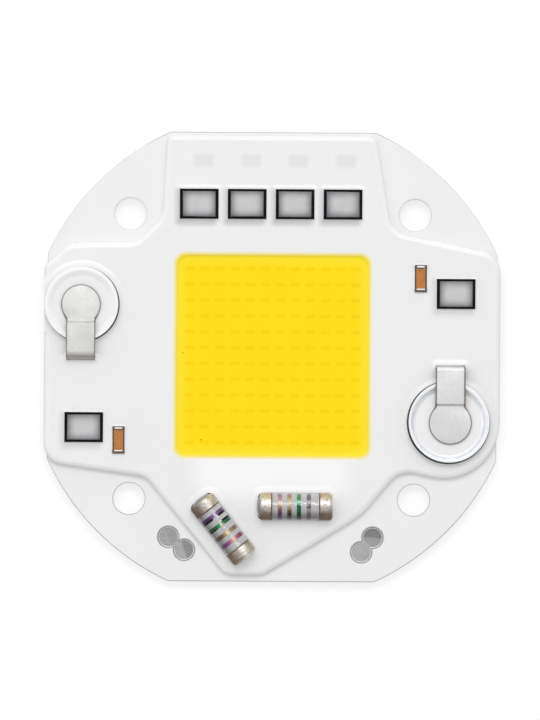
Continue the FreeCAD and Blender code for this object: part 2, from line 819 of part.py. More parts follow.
def make_contact(name, x, y, across, width, neck, reach, turn):
    """Keyhole strip: round pad, joggle up, bridge over the cup's lip, leg down and foot."""
    thick = cell.contact_thick
    rest = cell.fill_height
    bridge = cell.cup_height + cell.contact_clearance
    rise = bridge - rest
    run = rise / tangent(cell.contact_joggle)
    shift = thick * tangent(cell.contact_joggle / 2)
    end = reach + cell.contact_foot
    strip = new_body(name + "_strip")
    side = new_sketch(strip, name + "_side", role="YZ_Plane")
    polygon(side, [(-(across / 2), rest), (neck + shift, rest), (neck + shift + run, bridge),
                   (reach - thick, bridge), (reach - thick, ZERO), (end, ZERO), (end, thick),
                   (reach, thick), (reach, bridge + thick), (neck + run, bridge + thick),
                   (neck, rest + thick), (-(across / 2), rest + thick)])
    pad(strip, side, across, middle=True)
    for radius, spots in ((cell.contact_bend, ((reach, bridge + thick), (reach - thick, ZERO))),
                          (cell.contact_bend - thick, ((reach - thick, bridge), (reach, thick)))):
        fillet(strip, radius, lambda edge: any(
            math.hypot(edge.CenterOfMass.y - u.number, edge.CenterOfMass.z - v.number) < NEAR
            for u, v in spots))
    plan = new_body(name + "_plan")
    outline = new_sketch(plan, name + "_keyhole")
    keyhole(outline, across, width, neck, end)
    pad(plan, outline, bridge + thick)
    contact = doc.addObject("Part::Common", name)
    contact.Base = strip
    contact.Tool = plan
    place(contact, x, y, MASK_TOP, turn)
    return contact


# Copper: solder pads under the parts, and tracks under the mask

def make_pads(name, x, y, rectangles, turn=None):
    """Flat pads about a part's centre, each (x, y, width, height)."""
    body = new_body(name)
    outline = new_sketch(body, name + "_outline")
    for spot_x, spot_y, width, height in rectangles:
        rectangle(outline, spot_x, spot_y, width, height)
    pad(body, outline, cell.mask_thick)
    place(body, x, y, INSULATION_TOP, turn)
    return body


def end_pads(length, end, width):
    """Two pads, one under each end of a part that lies along X."""
    middle = (length - end) / 2
    return [(middle, ZERO, end + cell.pad_margin * 2, width + cell.pad_margin * 2),
            (-middle, ZERO, end + cell.pad_margin * 2, width + cell.pad_margin * 2)]


def lead_pads(pitch, count):
    """A pad under each foot of a package's leads."""
    row = cell.package_width / 2 + cell.lead_reach - cell.lead_foot / 2
    first = -(pitch * (count - 1) / 2)
    width = cell.lead_width + cell.pad_margin
    height = cell.lead_foot + cell.pad_margin * 2
    return [(first + pitch * index, side, width, height)
            for index in range(int(count.number)) for side in (row, -row)]


def make_solder_pads():
    pads = [make_pads(name + "_pads", x, y, lead_pads(pitch, count))
            for name, x, y, pitch, count in PACKAGES]
    pads += [make_pads("capacitor_%s_pads" % side, x, y,
                       end_pads(cell.capacitor_length, cell.capacitor_end,
                                cell.capacitor_width), RIGHT_ANGLE)
             for side, x, y in CAPACITORS]
    pads += [make_pads("set_resistor_%d_pads" % number, x, CHIP_Y,
                       end_pads(cell.chip_length, cell.chip_end, cell.chip_width))
             for number, x in enumerate(CHIPS, start=1)]
    pads += [make_pads("melf_%s_pads" % name, x, y,
                       end_pads(cell.melf_length, cell.melf_cap_length,
                                cell.melf_cap_across / 2), turn)
             for name, x, y, turn in MELFS]
    for side, _, _, _, x, y, _, width, _, reach, turn in TERMINALS:
        foot = reach + (cell.contact_foot - cell.contact_thick) / 2
        pads.append(make_pads("contact_%s_pad" % side, x, y, [
            (ZERO, foot, width + cell.pad_margin * 2,
             cell.contact_foot + cell.contact_thick + cell.pad_margin * 2)], turn))
    return grouped("solder_pads", pads)


def strip(label, left, low, right, high):
    """A straight piece of track between two corners."""
    box = doc.addObject("Part::Box", label)
    bind(box, "Length", right - left)
    bind(box, "Width", high - low)
    bind(box, "Height", cell.track_thick)
    place(box, left, low, INSULATION_TOP)
    return box


def make_tracks(pads):
    """Rails beside the light field, buses along the drivers, and links to the side parts."""
    width = cell.track_width
    half = width / 2
    rail = (cell.field_width + cell.dam_width) / 2
    left, right = cell.field_x - rail, cell.field_x + rail
    thin = cell.dam_width / 2
    pad_edge = cell.package_width / 2 + cell.lead_reach + cell.pad_margin
    low_bus = DRIVER_Y - pad_edge - width
    high_bus = DRIVER_Y + pad_edge
    bottom = DAM_LOW - width
    bus_left = DRIVERS[0] - cell.package_length / 2
    bus_right = DRIVERS[-1] + cell.package_length / 2
    melf_right = cell.melf_straight_x + (cell.melf_length - cell.melf_cap_length) / 2
    foot_left = CONTACT_LEFT_Y - cell.contact_left_reach
    foot_right = CONTACT_RIGHT_Y + cell.contact_right_reach
    strips = [
        strip("rail_left", left - thin, bottom, left + thin, low_bus + half),
        strip("rail_right", right - thin, bottom, right + thin, low_bus + half),
        strip("bus_low", left - thin, low_bus, right + thin, low_bus + width),
        strip("bus_high", bus_left, high_bus, bus_right, high_bus + width),
        strip("link_left", RECTIFIER_LEFT_X, cell.rectifier_left_y - half, left,
              cell.rectifier_left_y + half),
        strip("link_right", right, cell.rectifier_right_y - half, RECTIFIER_RIGHT_X,
              cell.rectifier_right_y + half),
        strip("feed_left", CONTACT_LEFT_X - half, cell.rectifier_left_y + pad_edge,
              CONTACT_LEFT_X + half, foot_left),
        strip("feed_right", CONTACT_RIGHT_X - half, foot_right,
              CONTACT_RIGHT_X + half, cell.rectifier_right_y - pad_edge),
        strip("melf_link_low", melf_right - half, MELF_STRAIGHT_Y, melf_right + half,
              bottom + width),
        strip("melf_link_across", melf_right - half, bottom, right + thin, bottom + width),
    ]
    return cut("copper_tracks", fused("track_strips", strips), pads)


# Light field: dies, phosphor and dam

def make_dies():
    body = new_body("led_dies")
    outline = new_sketch(body, "die_outline", cell.plate_thick)
    reach_x = cell.field_width - cell.die_margin_x * 2 - cell.die_length
    reach_y = cell.field_height - cell.die_margin_y * 2 - cell.die_width
    first_x = cell.field_x - reach_x / 2
    first_y = cell.field_y - reach_y / 2
    rectangle(outline, first_x, first_y, cell.die_length, cell.die_width)
    die = pad(body, outline, cell.die_thick)
    grid = body.newObject("PartDesign::MultiTransform", "die_grid")
    grid.Originals = [die]
    steps = []
    for axis, reach, count in (("X_Axis", reach_x, cell.die_columns),
                               ("Y_Axis", reach_y, cell.die_rows)):
        step = body.newObject("PartDesign::LinearPattern", "die_step_" + axis[0].lower())
        step.Direction = (origin_feature(body, axis), [""])
        step.Mode = "Spacing"
        bind(step, "Offset", reach / (count - 1))
        bind(step, "Occurrences", count)
        steps.append(step)
    grid.Transformations = steps
    body.Tip = grid
    return body


def make_phosphor(dies):
    body = new_body("phosphor_blank")
    outline = new_sketch(body, "phosphor_outline", cell.plate_thick)
    rounded_rectangle(outline, cell.field_x, cell.field_y, cell.field_width,
                      cell.field_height, cell.field_round)
    pad(body, outline, POTTING_TOP - cell.phosphor_sink - cell.plate_thick)
    return cut("phosphor_fill", body, dies)


def dam_outline(sketch):
    rounded_rectangle(sketch, cell.field_x, cell.field_y,
                      cell.field_width + cell.dam_width * 2,
                      cell.field_height + cell.dam_width * 2,
                      cell.field_round + cell.dam_width)


def make_dam():
    body = new_body("led_dam")
    outline = new_sketch(body, "dam_outline", MASK_TOP)
    dam_outline(outline)
    pad(body, outline, cell.potting_depth)
    cut_field(body, "dam", MASK_TOP, cell.potting_depth)
    right = (cell.field_x + cell.field_width / 2).number + NEAR
    left = (cell.field_x - cell.field_width / 2).number - NEAR
    high = (cell.field_y + cell.field_height / 2).number + NEAR
    low = (cell.field_y - cell.field_height / 2).number - NEAR
    fillet(body, cell.dam_round, lambda edge: (
        level(edge, POTTING_TOP.number)
        and left < edge.BoundBox.XMin and edge.BoundBox.XMax < right
        and low < edge.BoundBox.YMin and edge.BoundBox.YMax < high))
    return body


# White potting

def potting_corners():
    """Foot of the potting, counterclockwise from the top of the crown's left side."""
    crown_y = HALF_FLATS - cell.crown_margin
    chin_y = cell.chin_margin - HALF_FLATS
    edge = HALF_FLATS + cell.potting_lap
    return [
        (cell.crown_left_x, crown_y, cell.crown_left_round),
        (cell.waist_left_x, cell.waist_left_y, cell.waist_left_round),
        (cell.shoulder_left_x, cell.shoulder_left_y, cell.shoulder_left_round),
        (cell.cheek_left_in - edge, cell.cheek_left_y, cell.cheek_left_round),
        (-edge, cell.edge_left_upper_y, cell.edge_left_upper_round),
        (-edge, cell.edge_left_lower_y, cell.edge_left_lower_round),
        (cell.hip_left_x, cell.hip_left_y, cell.hip_left_round),
        (cell.chin_left_x, chin_y, cell.chin_round),
        (cell.chin_right_x, chin_y, cell.chin_round),
        (cell.jaw_right_x, below(cell.jaw_right_row), cell.jaw_right_round),
        (cell.hip_right_x, cell.hip_right_y, cell.hip_right_round),
        (edge, cell.edge_right_lower_y, cell.edge_right_lower_round),
        (edge, cell.edge_right_upper_y, cell.edge_right_upper_round),
        (cell.waist_right_x, cell.waist_right_y, cell.waist_right_round),
        (cell.crown_right_x, crown_y, cell.crown_right_round),
    ]


def make_potting(parts):
    """One pour over the whole circuit, fitted round every part that stands in it."""
    body = new_body("potting_blank")
    outline = new_sketch(body, "potting_outline", cell.lap_bottom)
    rounded_polygon(outline, potting_corners())
    pad(body, outline, POTTING_TOP - cell.lap_bottom)
    fillet(body, cell.potting_round, lambda edge: level(edge, POTTING_TOP.number))
    seat = new_sketch(body, "potting_seat", cell.lap_bottom)
    flatted_disc(seat, HALF_FLATS)
    pocket(body, seat, MASK_TOP - cell.lap_bottom, up=True)
    window = new_sketch(body, "potting_window", MASK_TOP)
    dam_outline(window)
    pocket(body, window, cell.potting_depth, up=True)
    for side, x, y, across, *_ in TERMINALS:
        well = new_sketch(body, "potting_well_" + side, MASK_TOP)
        circle(well, x, y, across)
        pocket(body, well, cell.potting_depth, up=True)
    return cut("overmould", body, fused("potted_parts", parts))


# The whole module

nodes = {}
dies = make_dies()
pads = make_solder_pads()
tracks = make_tracks(pads)
nodes["base_plate"] = make_plate()
nodes["insulating_layer"] = make_insulation()
nodes["copper_tracks"] = tracks
nodes["solder_pads"] = pads
nodes["white_mask"] = make_mask(pads, tracks)
nodes["led_dies"] = dies
nodes["phosphor_fill"] = make_phosphor(dies)
nodes["led_dam"] = make_dam()
potted = []
films = []
for name, x, y, pitch, count in PACKAGES:
    leads = make_leads(name, x, y, pitch, count)
    package = make_package(name, x, y, leads)
    nodes[name] = package
    nodes[name + "_leads"] = leads
    films.append(make_film(name, x, y))
    potted += [package, leads]
nodes["package_films"] = grouped("package_films", films)
for side, x, y in CAPACITORS:
    sizes = (cell.capacitor_length, cell.capacitor_width, cell.capacitor_height,
             cell.capacitor_plating)
    name = "capacitor_" + side
    nodes[name] = make_block(name, x, y, *sizes, turn=RIGHT_ANGLE)
    ends = make_ends(name + "_ends", x, y, *sizes, cell.capacitor_end, turn=RIGHT_ANGLE,
                     rounding=cell.capacitor_round)
    nodes[name + "_ends"] = ends
    potted += [nodes[name], ends]
chip_ends = []
for number, x in enumerate(CHIPS, start=1):
    sizes = (cell.chip_length, cell.chip_width, cell.chip_height, cell.chip_plating)
    name = "set_resistor_%d" % number
    nodes[name] = make_block(name, x, CHIP_Y, *sizes)
    ends = make_ends(name + "_ends", x, CHIP_Y, *sizes, cell.chip_end)
    chip_ends.append(ends)
    potted += [nodes[name], ends]
nodes["set_resistor_ends"] = grouped("set_resistor_ends", chip_ends)
for name, x, y, turn in MELFS:
    nodes["melf_" + name] = make_melf("melf_" + name, x, y, turn)
    nodes["melf_caps_" + name] = make_caps("melf_caps_" + name, x, y, turn)
    potted += [nodes["melf_" + name], nodes["melf_caps_" + name]]
for side, cup_x, cup_y, cup_across, x, y, across, width, neck, reach, turn in TERMINALS:
    nodes["terminal_cup_" + side] = make_cup("terminal_cup_" + side, cup_x, cup_y, cup_across)
    nodes["cup_fill_" + side] = make_cup_fill("cup_fill_" + side, cup_x, cup_y, cup_across)
    contact = make_contact("contact_" + side, x, y, across, width, neck, reach, turn)
    nodes["contact_" + side] = contact
    potted.append(contact)
nodes["overmould"] = make_potting(potted)
doc.recompute()

for thing in doc.Objects:
    if "Invalid" in thing.State or "Error" in thing.State:
        raise ValueError("%s did not compute: %s" % (thing.Label, thing.State))
for name, thing in nodes.items():
    if thing.Shape.isNull() or not thing.Shape.isValid() or not thing.Shape.Solids:
        raise ValueError(name + " has no valid solid")
for name, thing in nodes.items():
    thing.Shape.exportStep("parts/%s.step" % name)
    print("%-24s %3d solids %10.3f mm3" % (name, len(thing.Shape.Solids), thing.Shape.Volume))
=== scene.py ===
import math

import bmesh
import bpy
from bpy.props import FloatProperty, FloatVectorProperty, PointerProperty
from mathutils import Matrix, Vector


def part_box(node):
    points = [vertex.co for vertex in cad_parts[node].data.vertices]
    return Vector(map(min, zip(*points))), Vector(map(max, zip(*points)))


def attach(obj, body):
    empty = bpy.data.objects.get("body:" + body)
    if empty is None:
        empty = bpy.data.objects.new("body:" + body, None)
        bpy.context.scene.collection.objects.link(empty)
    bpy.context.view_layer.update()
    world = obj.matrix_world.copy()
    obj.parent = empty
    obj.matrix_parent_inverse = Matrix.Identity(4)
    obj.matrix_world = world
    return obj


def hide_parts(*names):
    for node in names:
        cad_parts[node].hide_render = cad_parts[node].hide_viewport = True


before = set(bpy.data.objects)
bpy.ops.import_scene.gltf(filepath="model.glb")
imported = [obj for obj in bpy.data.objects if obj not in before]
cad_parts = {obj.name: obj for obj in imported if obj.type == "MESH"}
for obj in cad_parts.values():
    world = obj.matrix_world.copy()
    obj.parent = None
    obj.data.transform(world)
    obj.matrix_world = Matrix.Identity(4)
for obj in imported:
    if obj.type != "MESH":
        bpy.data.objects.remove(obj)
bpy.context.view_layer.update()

bl_info = {
    "name": "Chip-on-board LED dressing",
    "version": (1, 0, 0),
    "blender": (4, 5, 0),
    "location": "View3D > Sidebar > COB LED",
    "description": "Pieces and finishes for a mains-voltage chip-on-board LED module",
    "category": "Object",
}

# Everything is in metres, in the frame of the CAD part: the origin is at the centre of the plate's
# back face, +Z points to the light, and +Y to the row of drivers.

MM = 0.001
TINY = 0.0001 * MM

DRIVERS = ["driver_%d" % number for number in range(1, 5)]
RECTIFIERS = ["rectifier_left", "rectifier_right"]
PACKAGES = DRIVERS + RECTIFIERS
CAPACITORS = ["capacitor_left", "capacitor_right"]
MELFS = ["straight", "slanted"]
SIDES = ["left", "right"]
SET_RESISTORS = ["set_resistor_%d" % number for number in range(1, 5)]


# Places and sizes read from the CAD part

def middle(node):
    low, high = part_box(node)
    return (low + high) / 2


def extent(node):
    low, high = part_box(node)
    return high - low


def over(node, height=0.0):
    """The point at this height over or under a node's middle."""
    centre = middle(node)
    return Vector((centre.x, centre.y, height))


POTTING_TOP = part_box("led_dam")[1].z
PACKAGE_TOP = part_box("driver_1")[1].z
FIELD_LOW, FIELD_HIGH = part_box("phosphor_fill")
FIELD_MIDDLE = (FIELD_LOW + FIELD_HIGH) / 2
FIELD_SIZE = FIELD_HIGH - FIELD_LOW
POTTED_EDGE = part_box("overmould")[1].x
MELF_LENGTH = extent("melf_caps_straight").x
CAP_RADIUS = extent("melf_caps_straight").y / 2
COAT_RADIUS = extent("melf_straight").y / 2
MELF_AXIS = middle("melf_straight").z
DIE_SPAN = extent("led_dies")
PLATE_RADIUS = 33.0 * MM
DOME = 0.47 * MM
TAB_WIDTH = 3.84 * MM
PAD_TO_FOLD = {"left": 2.17 * MM, "right": 2.27 * MM}
FOOT_LENGTH = 0.88 * MM

# Painted light at the outer bend of each contact, painted shade on the left one and a painted
# highlight on the right one: its place inside the bend, half width, softness and tone
BEND_LIGHT_AND_SHADE = {"left": (0.36 * MM, 0.12 * MM, 0.48 * MM, (0.62, 0.60, 0.585)),
              "right": (0.16 * MM, 0.08 * MM, 0.12 * MM, (1.36, 1.36, 1.36))}


# Settings a user would change

def length(name, description, default):
    return FloatProperty(name=name, description=description, default=default, unit="LENGTH",
                         min=0.0, precision=5)


def colour(name, description, default):
    return FloatVectorProperty(name=name, description=description, default=default,
                               subtype="COLOR", size=3, min=0.0, max=1.0)


class PottingSettings(bpy.types.PropertyGroup):
    white: colour("White", "White potting silicone", (0.865, 0.865, 0.867))
    mask_white: colour("Mask white", "White lacquer of the board", (0.855, 0.855, 0.858))
    package_reach: length("Package skirt reach", "How far the potting's skirt runs out from a package",
                          0.80 * MM)
    package_climb: length("Package skirt climb", "How high the potting climbs a package's side",
                          0.30 * MM)
    melf_reach: length("Resistor mound reach", "How far the mound runs out from a round resistor",
                       1.20 * MM)
    melf_climb: length("Resistor mound climb", "How high the potting stands round a round resistor",
                       0.13 * MM)
    cup_reach: length("Cup skirt reach", "How far the skirt runs out from a terminal cup", 1.1 * MM)
    left_climb: length("Left cup climb", "How high the potting climbs the left cup", 0.7 * MM)
    right_climb: length("Right cup climb", "How high the potting climbs the right cup", 0.35 * MM)
    leg_reach: length("Leg skirt reach", "How far the skirt runs out from a contact's leg", 1.0 * MM)
    leg_climb: length("Leg skirt climb", "How high the potting climbs a contact's leg", 0.5 * MM)


class LightFieldSettings(bpy.types.PropertyGroup):
    yellow: colour("Yellow", "Phosphor in the middle of the field", (0.98, 0.73, 0.004))
    pale: colour("Pale yellow", "Phosphor near the edge", (0.96, 0.77, 0.035))
    rim: colour("Rim", "Thin phosphor where it meets the white edge", (0.89, 0.79, 0.31))
    die: colour("Die mark", "Tone over each die", (0.94, 0.645, 0.002))
    edge_rise: length("Edge rise", "How far the phosphor climbs the dam", 0.12 * MM)
    edge_reach: length("Edge reach", "How far in from the dam the climb starts", 0.6 * MM)


class PackageSettings(bpy.types.PropertyGroup):
    black: colour("Black resin", "Moulded epoxy of the packages", (0.006, 0.006, 0.0065))
    film_middle: colour("Film middle", "Milky film at the middle of a package", (0.58, 0.58, 0.59))
    film_edge: colour("Film edge", "Milky film near its edge", (0.09, 0.092, 0.10))
    film_rise: length("Film rise", "Height of the film's dome", 0.11 * MM)
    film_waver: length("Film waver", "How far the film's edge wanders", 0.09 * MM)


class ResistorSettings(bpy.types.PropertyGroup):
    band_width: length("Band width", "Width of a colour band", 0.57 * MM)
    band_relief: length("Band relief", "Thickness of a colour band", 0.012 * MM)
    domed_cap: length("Domed cap", "Length of the wall of the cap with a domed end", 1.61 * MM)
    blunt_cap: length("Blunt cap", "Length of the wall of the cap with a blunt end", 1.80 * MM)
    slant: FloatProperty(name="Slant", description="Turn of the slanted resistor about Z",
                         default=math.radians(-51.6), unit="ROTATION")


class TerminalSettings(bpy.types.PropertyGroup):
    metal: colour("Metal", "Plated contact strips", (0.74, 0.735, 0.73))
    bevel: length("Edge bevel", "Rounding of the strip's sheared edges", 0.045 * MM)


class StageSettings(bpy.types.PropertyGroup):
    key: FloatProperty(name="Key light", description="Radiance of the large softbox", default=3.2,
                       min=0.0)
    zenith: FloatProperty(name="Sky", description="Radiance high above", default=0.94, min=0.0)
    horizon: FloatProperty(name="Horizon", description="Radiance at the horizon", default=0.50,
                           min=0.0)
    pixel: length("Pixel", "Width on the plate that one pixel of the picture shows", 0.13333 * MM)


# Modelling helpers

def deselect():
    if bpy.context.mode != "OBJECT":
        bpy.ops.object.mode_set(mode="OBJECT")
    bpy.ops.object.select_all(action="DESELECT")


def only(piece):
    """Make the piece the one selected and active object."""
    deselect()
    piece.select_set(True)
    bpy.context.view_layer.objects.active = piece
    return piece


def named(name):
    """Name the primitive that was just added."""
    piece = bpy.context.object
    piece.name = name
    piece.data.name = name
    return piece


def apply_place():
    """Put the active piece's place, turn and size into its mesh."""
    bpy.ops.object.transform_apply(location=True, rotation=True, scale=True)


def edit(piece):
    only(piece)
    bpy.ops.object.mode_set(mode="EDIT")


def leave():
    bpy.ops.object.mode_set(mode="OBJECT")


def pick(piece, kind, test):
    """In edit mode, select the faces, edges or vertices that pass the test."""
    bpy.ops.mesh.select_mode(type=kind)
    bpy.ops.mesh.select_all(action="DESELECT")
    mesh = bmesh.from_edit_mesh(piece.data)
    elements = {"FACE": mesh.faces, "EDGE": mesh.edges, "VERT": mesh.verts}[kind]
    chosen = [element for element in elements if test(element)]
    for element in chosen:
        element.select_set(True)
    mesh.select_flush_mode()
    bmesh.update_edit_mesh(piece.data)
    if not chosen:
        raise RuntimeError(piece.name + " has nothing to select here")


def pick_all(kind):
    """In edit mode, select all faces, edges or vertices."""
    bpy.ops.mesh.select_mode(type=kind)
    bpy.ops.mesh.select_all(action="SELECT")


def extrude(height):
    """Extrude the selected faces along Z."""
    bpy.ops.mesh.extrude_region_move(TRANSFORM_OT_translate={"value": (0, 0, height)})


def sheet(name, size_x, size_y):
    """A flat rectangle about the origin, left in edit mode."""
    bpy.ops.mesh.primitive_plane_add(size=1)
    piece = named(name)
    piece.dimensions = (size_x, size_y, 0)
    apply_place()
    edit(piece)
    return piece


def rod(name, low, high, radius):
    """A round bar along X, from low to high."""
    bpy.ops.mesh.primitive_cylinder_add(vertices=96, radius=radius, depth=high - low,
                                        location=((low + high) / 2, 0, 0),
                                        rotation=(0, math.pi / 2, 0))
    apply_place()
    return named(name)


# Curves for step_inwards: the shares of the reach and of the climb at an angle of a quarter turn

def dome(angle):
    return 1 - math.cos(angle), math.sin(angle)


def cove(angle):
    return math.sin(angle), 1 - math.cos(angle)


def mound(angle):
    return angle / (math.pi / 2), math.sin(angle) ** 2


def step_inwards(curve, steps, parts, reach, climb):
    """Inset the selected faces step by step along a curve that is cut into equal parts."""
    done, height = 0.0, 0.0
    for step in range(1, steps + 1):
        share, rise = curve(step / parts * math.pi / 2)
        bpy.ops.mesh.inset(thickness=(share - done) * reach, depth=(rise - height) * climb)
        done, height = share, rise


def settle(piece, place=(0, 0, 0), turn=0.0):
    """Turn and move the piece to its place, and put that into its mesh."""
    only(piece)
    piece.matrix_world = Matrix.Translation(place) @ Matrix.Rotation(turn, 4, "Z")
    apply_place()
    return piece


def smooth(piece, angle):
    only(piece)
    bpy.ops.object.shade_smooth_by_angle(angle=math.radians(angle))
    return piece


def face_out(piece):
    edit(piece)
    bpy.ops.mesh.select_all(action="SELECT")
    bpy.ops.mesh.normals_make_consistent(inside=False)
    leave()
    return piece


def joined(name, pieces):
    """Join pieces into one, each as its own shell."""
    deselect()
    for piece in pieces:
        piece.select_set(True)
    bpy.context.view_layer.objects.active = pieces[0]
    bpy.ops.object.join()
    return named(name)


def finished(piece, slot, *materials, replaces=()):
    """Give the piece its materials and its body; the slot is not used."""
    for material in materials:
        piece.data.materials.append(material)
    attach(piece, "root")
    if replaces:
        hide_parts(*replaces)
    return piece


def paint(node, material):
    """Give a CAD node its one material."""
    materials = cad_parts[node].data.materials
    materials.clear()
    materials.append(material)


def add_modifier(piece, kind, **values):
    """Add a modifier with these settings and apply it."""
    only(piece)
    modifier = piece.modifiers.new(kind.title(), kind)
    for key, value in values.items():
        setattr(modifier, key, value)
    bpy.ops.object.modifier_apply(modifier=modifier.name)


def node_copy(node, name):
    """A merged copy of a CAD node, with flat faces made whole."""
    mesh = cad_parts[node].data.copy()
    mesh.materials.clear()
    piece = bpy.data.objects.new(name, mesh)
    bpy.context.scene.collection.objects.link(piece)
    edit(piece)
    bpy.ops.mesh.select_all(action="SELECT")
    bpy.ops.mesh.customdata_custom_splitnormals_clear()
    bpy.ops.mesh.remove_doubles(threshold=0.001 * MM)
    bpy.ops.mesh.dissolve_limited(angle_limit=math.radians(0.3))
    leave()
    return piece


# Shader helpers

def feed(tree, node, **inputs):
    """Set inputs by name: a socket is linked, anything else is the input's own value."""
    for key, value in inputs.items():
        socket = node.inputs[int(key[1:])] if key[1:].isdigit() else node.inputs[key.replace("_", " ")]
        if isinstance(value, bpy.types.NodeSocket):
            tree.links.new(value, socket)
        else:
            socket.default_value = value
    return node


def maths(tree, operation, first, second=None, third=None, clamp=False):
    node = tree.nodes.new("ShaderNodeMath")
    node.operation = operation
    node.use_clamp = clamp
    for index, value in enumerate((first, second, third)):
        if value is not None:
            feed(tree, node, **{"i%d" % index: value})
    return node.outputs[0]


def vector_maths(tree, operation, first, second=None):
    node = tree.nodes.new("ShaderNodeVectorMath")
    node.operation = operation
    feed(tree, node, i0=first)
    if second is not None:
        feed(tree, node, i1=second)
    return node.outputs["Value" if operation in ("LENGTH", "DOT_PRODUCT") else "Vector"]


def ramp(tree, value, low, high, low_out=0.0, high_out=1.0):
    """A smooth step of the value from low to high."""
    node = tree.nodes.new("ShaderNodeMapRange")
    node.interpolation_type = "SMOOTHSTEP"
    feed(tree, node, Value=value, From_Min=low, From_Max=high, To_Min=low_out, To_Max=high_out)
    return node.outputs["Result"]


def blend(tree, factor, first, second, kind="MIX"):
    """Mix two colours."""
    node = tree.nodes.new("ShaderNodeMix")
    node.data_type = "RGBA"
    node.blend_type = kind
    feed(tree, node, i0=factor, i6=rgba(first), i7=rgba(second))
    return node.outputs[2]


def multiplied(tree, first, second):
    """Multiply two colours."""
    return blend(tree, 1.0, first, second, "MULTIPLY")


def graded(tree, value, stops):
    """Colour by a value from -1 to 1, through (value, colour) stops from low to high."""
    node = tree.nodes.new("ShaderNodeValToRGB")
    elements = node.color_ramp.elements
    for index in (0, -1):
        elements[index].position = (stops[index][0] + 1) / 2
        elements[index].color = rgba(stops[index][1])
    for place, tone in stops[1:-1]:
        elements.new((place + 1) / 2).color = rgba(tone)
    feed(tree, node, Fac=maths(tree, "MULTIPLY_ADD", value, 0.5, 0.5))
    return node.outputs["Color"]


def rgba(value):
    """A colour with its alpha; a socket is left as it is."""
    if isinstance(value, bpy.types.NodeSocket):
        return value
    return (value[0], value[1], value[2], 1.0)


def place_of(tree):
    """The point on the piece, in metres."""
    return tree.nodes.new("ShaderNodeTexCoord").outputs["Object"]


def stretched(tree, scale, turn=0.0):
    """The point on the piece, turned about Z and then scaled along each axis."""
    mapping = tree.nodes.new("ShaderNodeMapping")
    mapping.vector_type = "TEXTURE"
    feed(tree, mapping, Vector=place_of(tree), Rotation=(0, 0, turn),
         Scale=tuple(1 / value for value in scale))
    return mapping.outputs[0]


def noise(tree, scale, detail=3.0, roughness=0.55, point=None):
    """Cloudy noise at the point on the piece, or at another point."""
    node = tree.nodes.new("ShaderNodeTexNoise")
    feed(tree, node, Vector=point or place_of(tree), Scale=scale, Detail=detail,
         Roughness=roughness)
    return node.outputs["Fac"]


def new_group(name, output, **inputs):
    """A node group with these sockets; returns its tree, its inputs and its output node."""
    tree = bpy.data.node_groups.new(name, "ShaderNodeTree")
    for key, (kind, default) in inputs.items():
        socket = tree.interface.new_socket(name=key, in_out="INPUT", socket_type=kind)
        socket.default_value = default
    tree.interface.new_socket(name=output[0], in_out="OUTPUT", socket_type=output[1])
    return tree, tree.nodes.new("NodeGroupInput").outputs, tree.nodes.new("NodeGroupOutput")


def use_group(tree, name, **inputs):
    """Place a node group and set its inputs."""
    node = tree.nodes.new("ShaderNodeGroup")
    node.node_tree = bpy.data.node_groups[name]
    feed(tree, node, **inputs)
    return node.outputs[0]


FLOAT, COLOUR, VECTOR = "NodeSocketFloat", "NodeSocketColor", "NodeSocketVector"


def make_tone_group():
    """Two tones of one colour in soft clouds."""
    tree, given, result = new_group(
        "Cloudy Tone", ("Colour", COLOUR), Light=(COLOUR, (1, 1, 1, 1)),
        Dark=(COLOUR, (0.9, 0.9, 0.9, 1)), Scale=(FLOAT, 200.0))
    value = noise(tree, given["Scale"])
    feed(tree, result, i0=blend(tree, ramp(tree, value, 0.3, 0.7), given["Dark"], given["Light"]))


def make_relief_group():
    """Fine bumps, longer along one way if Stretch says so."""
    tree, given, result = new_group(
        "Fine Relief", ("Normal", VECTOR), Scale=(FLOAT, 4000.0), Depth=(FLOAT, 0.00001),
        Stretch=(VECTOR, (1, 1, 1)), Detail=(FLOAT, 2.0))
    mapping = tree.nodes.new("ShaderNodeMapping")
    feed(tree, mapping, Vector=place_of(tree), Scale=given["Stretch"])
    value = noise(tree, given["Scale"], given["Detail"], point=mapping.outputs["Vector"])
    bump = tree.nodes.new("ShaderNodeBump")
    feed(tree, bump, Strength=1.0, Distance=given["Depth"], Height=value)
    feed(tree, result, i0=bump.outputs["Normal"])


def make_speck_group():
    """A mask of small, scattered specks."""
    tree, given, result = new_group(
        "Specks", ("Mask", FLOAT), Scale=(FLOAT, 900.0), Size=(FLOAT, 0.07), Share=(FLOAT, 0.1))
    cells = tree.nodes.new("ShaderNodeTexVoronoi")
    feed(tree, cells, Vector=place_of(tree), Scale=given["Scale"])
    dot = maths(tree, "LESS_THAN", cells.outputs["Distance"], given["Size"])
    split = tree.nodes.new("ShaderNodeSeparateColor")
    feed(tree, split, i0=cells.outputs["Color"])
    kept = maths(tree, "LESS_THAN", split.outputs[0], given["Share"])
    feed(tree, result, i0=maths(tree, "MULTIPLY", dot, kept))


def make_disc_group():
    """A mask that is 1 inside a round area and fades to 0 over Soft."""
    tree, given, result = new_group(
        "Soft Disc", ("Mask", FLOAT), Centre=(VECTOR, (0, 0, 0)), Radius=(FLOAT, 0.005),
        Soft=(FLOAT, 0.0001))
    away = vector_maths(tree, "SUBTRACT", place_of(tree), given["Centre"])
    distance = vector_maths(tree, "LENGTH", vector_maths(tree, "MULTIPLY", away, (1, 1, 0)))
    beyond = maths(tree, "SUBTRACT", distance, given["Radius"])
    share = maths(tree, "DIVIDE", beyond, given["Soft"], clamp=True)
    feed(tree, result, i0=maths(tree, "SUBTRACT", 1.0, share))


